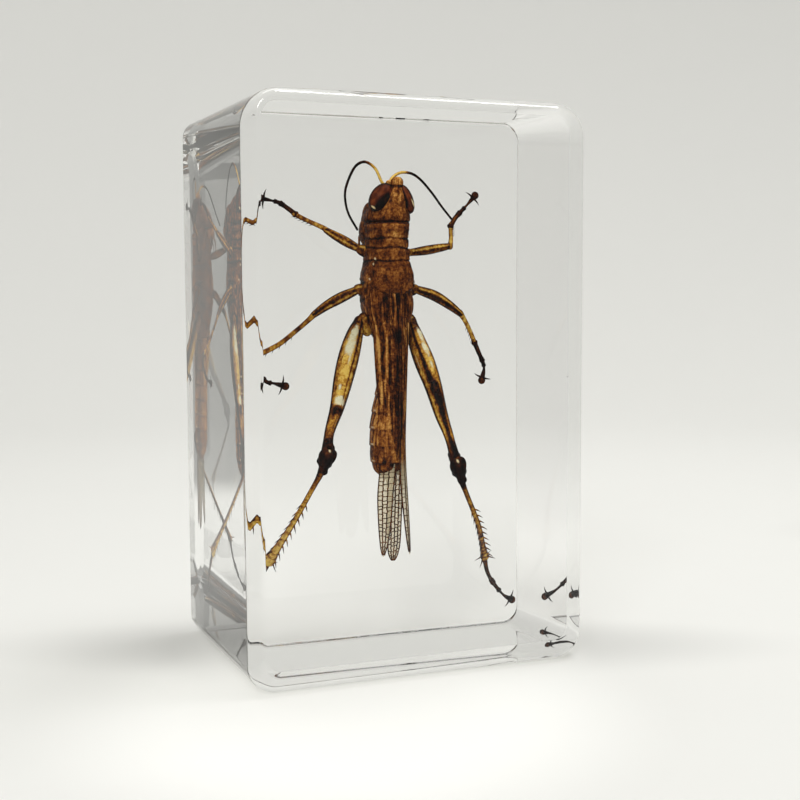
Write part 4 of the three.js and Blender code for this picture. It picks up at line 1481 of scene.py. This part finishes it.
def makeLeg(name, leg):
    isHind = name.startswith("hind")
    hip = newShape()
    addLimb(hip, leg["hip"], 28, 10, tone=hipTone, dark=0.5, light=0.1)
    insectPiece(hip, name + "_hip", legShell)
    thigh = newShape()
    if isHind:
        addLimb(thigh, leg["thigh"], 56, 20, legRules["hindFlat"], thighRelief,
                tone=lambda t, a: thighDark(name, t, a),
                pale=lambda t, a: thighPaintedHighlights(name, t, a), dark=0.9, light=0.08)
    else:
        ridges = sideRidges(0.05, 0.8, 0.12)
        addLimb(thigh, leg["thigh"], 36, 12, relief=ridges, tone=slimTone, dark=0.75, light=0.1)
    insectPiece(thigh, name + "_thigh", legShell)
    if isHind:
        knee = newShape()
        addLimb(knee, leg["knee"], 40, 10, legRules["kneeFlat"], kneeRelief, pale=kneePaintedHighlight, light=0.2)
        insectPiece(knee, name + "_knee", darkShell)
    shin = newShape()
    addLimb(shin, leg["shin"], 28, 12, relief=sideRidges(0.03, 0.7, 0.15),
            tone=lambda t, a: shinTone(isHind, t, a), dark=0.6, light=0.1)
    if isHind:
        addHindSpines(shin, leg["shin"])
    else:
        addSmallSpines(shin, leg["shin"])
    insectPiece(shin, name + "_shin", legShell)
    foot = newShape()
    addFoot(foot, leg["foot"])
    insectPiece(foot, name + "_foot", darkShell)


for name, leg in legs.items():
    makeLeg(name, leg)
print("legs made")


# stage: a floor that curves up into a wall all round, pale near the block and behind it

stageLook = {
    "flatRings": (0.5, 60.0, 150.0),
    "flatRadius": 300.0,
    "curveRadius": 330.0,
    "curveSteps": 24,
    "wallTop": 1100.0,
    "drop": 0.05,               # a hair under the block, so that air stays between them
    "around": 96,
    "roughness": 0.9,
    "gloss": 0.1,
    "colour": (0.835, 0.835, 0.815),
    "mottle": 0.985,
    "mottleScale": 30,
    "wallColour": (0.845, 0.845, 0.825),
    "wallReach": (120, 360),
    "greyColour": (0.22, 0.22, 0.215),
    "greyReach": (105, 150),
    "paleAzimuth": 14.0,        # the middle of the sector without grey, degrees from +Y towards +X
    "greyTurn": (0.66, 0.42),   # cosine of the turn from that azimuth
    "shadeTurn": 21.56,         # the soft shade lies in a strip on both sides of the foot
    "shadeHalf": (56, 15, 1000),
    "shadeFrom": (21, 30),
    "shadeFade": (1.15, 0.3),
    "shade": 0.24,
    "shadeColour": (0.0, 0.0, 0.0),
    "paintedLightColour": (0.99, 0.99, 0.97),
    "paintedLightPlace": (-14, -24, 0),   # a painted pool of light on the floor before the block's left corner
    "paintedLightReach": (40, 18),
}


def inMetres(lengths):
    return tuple(length * mm for length in lengths)


def vectorNode(tree, kind, a, b=None):
    node = tree.nodes.new("ShaderNodeVectorMath")
    node.operation = kind
    tree.links.new(a, node.inputs[0])
    if b:
        node.inputs[1].default_value = b
    return node.outputs["Vector" if kind in ("MULTIPLY", "NORMALIZE") else "Value"]


def footShade(tree, place):
    # a strip of shade across the foot that leaves out the block itself
    look = stageLook
    across = tree.nodes.new("ShaderNodeMapping")
    across.vector_type = "TEXTURE"
    across.inputs["Rotation"].default_value = (0, 0, -math.radians(look["shadeTurn"]))
    across.inputs["Scale"].default_value = inMetres(look["shadeHalf"])
    tree.links.new(place, across.inputs["Vector"])
    apart = tree.nodes.new("ShaderNodeSeparateXYZ")
    tree.links.new(across.outputs[0], apart.inputs[0])
    start, full = (r / look["shadeHalf"][0] for r in look["shadeFrom"])
    beside = rangeNode(tree, mathNode(tree, "ABSOLUTE", apart.outputs["X"]), start, full)
    within = rangeNode(tree, vectorNode(tree, "LENGTH", across.outputs[0]), *look["shadeFade"])
    return mathNode(tree, "MULTIPLY", mathNode(tree, "MULTIPLY", within, beside), look["shade"])


def paperMaterial():
    look = stageLook
    material, tree, shader = newMaterial("pale_paper")
    place = tree.nodes.new("ShaderNodeTexCoord").outputs["Object"]
    level = vectorNode(tree, "MULTIPLY", place, (1, 1, 0))
    away = vectorNode(tree, "LENGTH", level)
    near = vectorNode(tree, "DISTANCE", place, inMetres(look["paintedLightPlace"]))
    low = tuple(c * look["mottle"] for c in look["colour"])
    colour = mixColour(tree, noiseNode(tree, place, look["mottleScale"], 3), look["colour"], low)
    high = rangeNode(tree, away, *inMetres(look["wallReach"]))
    colour = mixColour(tree, high, colour, look["wallColour"])
    # a painted pool of light before the block's left corner
    bright = rangeNode(tree, near, *inMetres(look["paintedLightReach"]))
    colour = mixColour(tree, bright, colour, look["paintedLightColour"])
    colour = mixColour(tree, footShade(tree, place), colour, look["shadeColour"])
    # grey further out, except in a wide sector behind the block
    azimuth = math.radians(look["paleAzimuth"])
    middle = (math.sin(azimuth), math.cos(azimuth), 0)
    toward = vectorNode(tree, "DOT_PRODUCT", vectorNode(tree, "NORMALIZE", level), middle)
    turned = rangeNode(tree, toward, *look["greyTurn"])
    beyond = rangeNode(tree, away, *inMetres(look["greyReach"]))
    colour = mixColour(tree, mathNode(tree, "MULTIPLY", turned, beyond), colour, look["greyColour"])
    tree.links.new(colour, shader.inputs["Base Color"])
    shader.inputs["Roughness"].default_value = look["roughness"]
    shader.inputs["Specular IOR Level"].default_value = look["gloss"]
    return material


def makeStage():
    bend, flat = stageLook["curveRadius"], stageLook["flatRadius"]
    profile = [(r, 0.0) for r in stageLook["flatRings"]]
    for k in range(stageLook["curveSteps"] + 1):
        turn = half * k / stageLook["curveSteps"]
        profile.append((flat + bend * math.sin(turn), bend * (1 - math.cos(turn))))
    profile.append((flat + bend, stageLook["wallTop"]))
    angle = turnsRound(stageLook["around"])[0]
    drop = stageLook["drop"]
    rings = [[(r * math.cos(a), r * math.sin(a), z - drop) for a in angle] for r, z in profile]
    shape = newShape()
    shape["faces"].append(tuple(range(stageLook["around"])))
    addRings(shape, rings, caps=False)
    mesh = bpy.data.meshes.new("floor")
    mesh.from_pydata([tuple(c * mm for c in p) for p in shape["points"]], [], shape["faces"])
    mesh.shade_smooth()
    mesh.materials.append(paperMaterial())
    floor = bpy.data.objects.new("floor", mesh)
    bpy.context.collection.objects.link(floor)


lights = {
    "top": {"place": (200, -10, 560), "aim": (0, 20, 0), "size": 220, "power": 1.75},
    "front": {"place": (-270, -420, 430), "aim": (0, 0, 36), "size": 220, "power": 1.9},
    "back": {"place": (0, 150, 560), "aim": (0, 520, 120), "size": 300, "power": 0.55},
}
lightColour = (1.0, 0.995, 0.97)
roomLight = 0.42


def makeLights():
    for name, look in lights.items():
        data = bpy.data.lights.new(name, "AREA")
        data.shape = "SQUARE"
        data.size = look["size"] * mm
        data.energy = look["power"]
        data.color = lightColour
        lamp = bpy.data.objects.new(name, data)
        bpy.context.collection.objects.link(lamp)
        place, aim = Vector(look["place"]) * mm, Vector(look["aim"]) * mm
        lamp.location = place
        lamp.visible_transmission = False
        lamp.rotation_euler = (aim - place).to_track_quat("-Z", "Y").to_euler()
    world = bpy.data.worlds.new("room")
    bpy.context.scene.world = world
    world.use_nodes = True
    background = world.node_tree.nodes["Background"]
    background.inputs["Color"].default_value = (*lightColour, 1)
    background.inputs["Strength"].default_value = roomLight


camera = {
    "place": (-59.967, -158.952, 48.078),
    "yaw": 21.563,
    "pitch": 4.691,
    "roll": -0.239,
    "focalPixels": 1242.714,
    "imagePixels": 800,
    "sensorWidth": 36,
    "clipStart": 5.0,
}


def makeCamera():
    yaw, pitch, roll = (math.radians(camera[k]) for k in ("yaw", "pitch", "roll"))
    look = Vector((math.sin(yaw) * math.cos(pitch), math.cos(yaw) * math.cos(pitch), -math.sin(pitch)))
    right = Vector((math.cos(yaw), -math.sin(yaw), 0))
    up = right.cross(look)
    tiltedRight = right * math.cos(roll) + up * math.sin(roll)
    tiltedUp = up * math.cos(roll) - right * math.sin(roll)
    data = bpy.data.cameras.new("camera")
    data.sensor_width = camera["sensorWidth"]
    data.lens = camera["focalPixels"] * data.sensor_width / camera["imagePixels"]
    data.clip_start = camera["clipStart"] * mm
    view = bpy.data.objects.new("camera", data)
    view.matrix_world = Matrix((tiltedRight, tiltedUp, -look)).transposed().to_4x4()
    view.location = Vector(camera["place"]) * mm
    bpy.context.collection.objects.link(view)
    bpy.context.scene.camera = view


makeStage()
makeLights()
makeCamera()
bpy.context.scene.view_settings.view_transform = "Standard"
print("stage, lights and camera made")
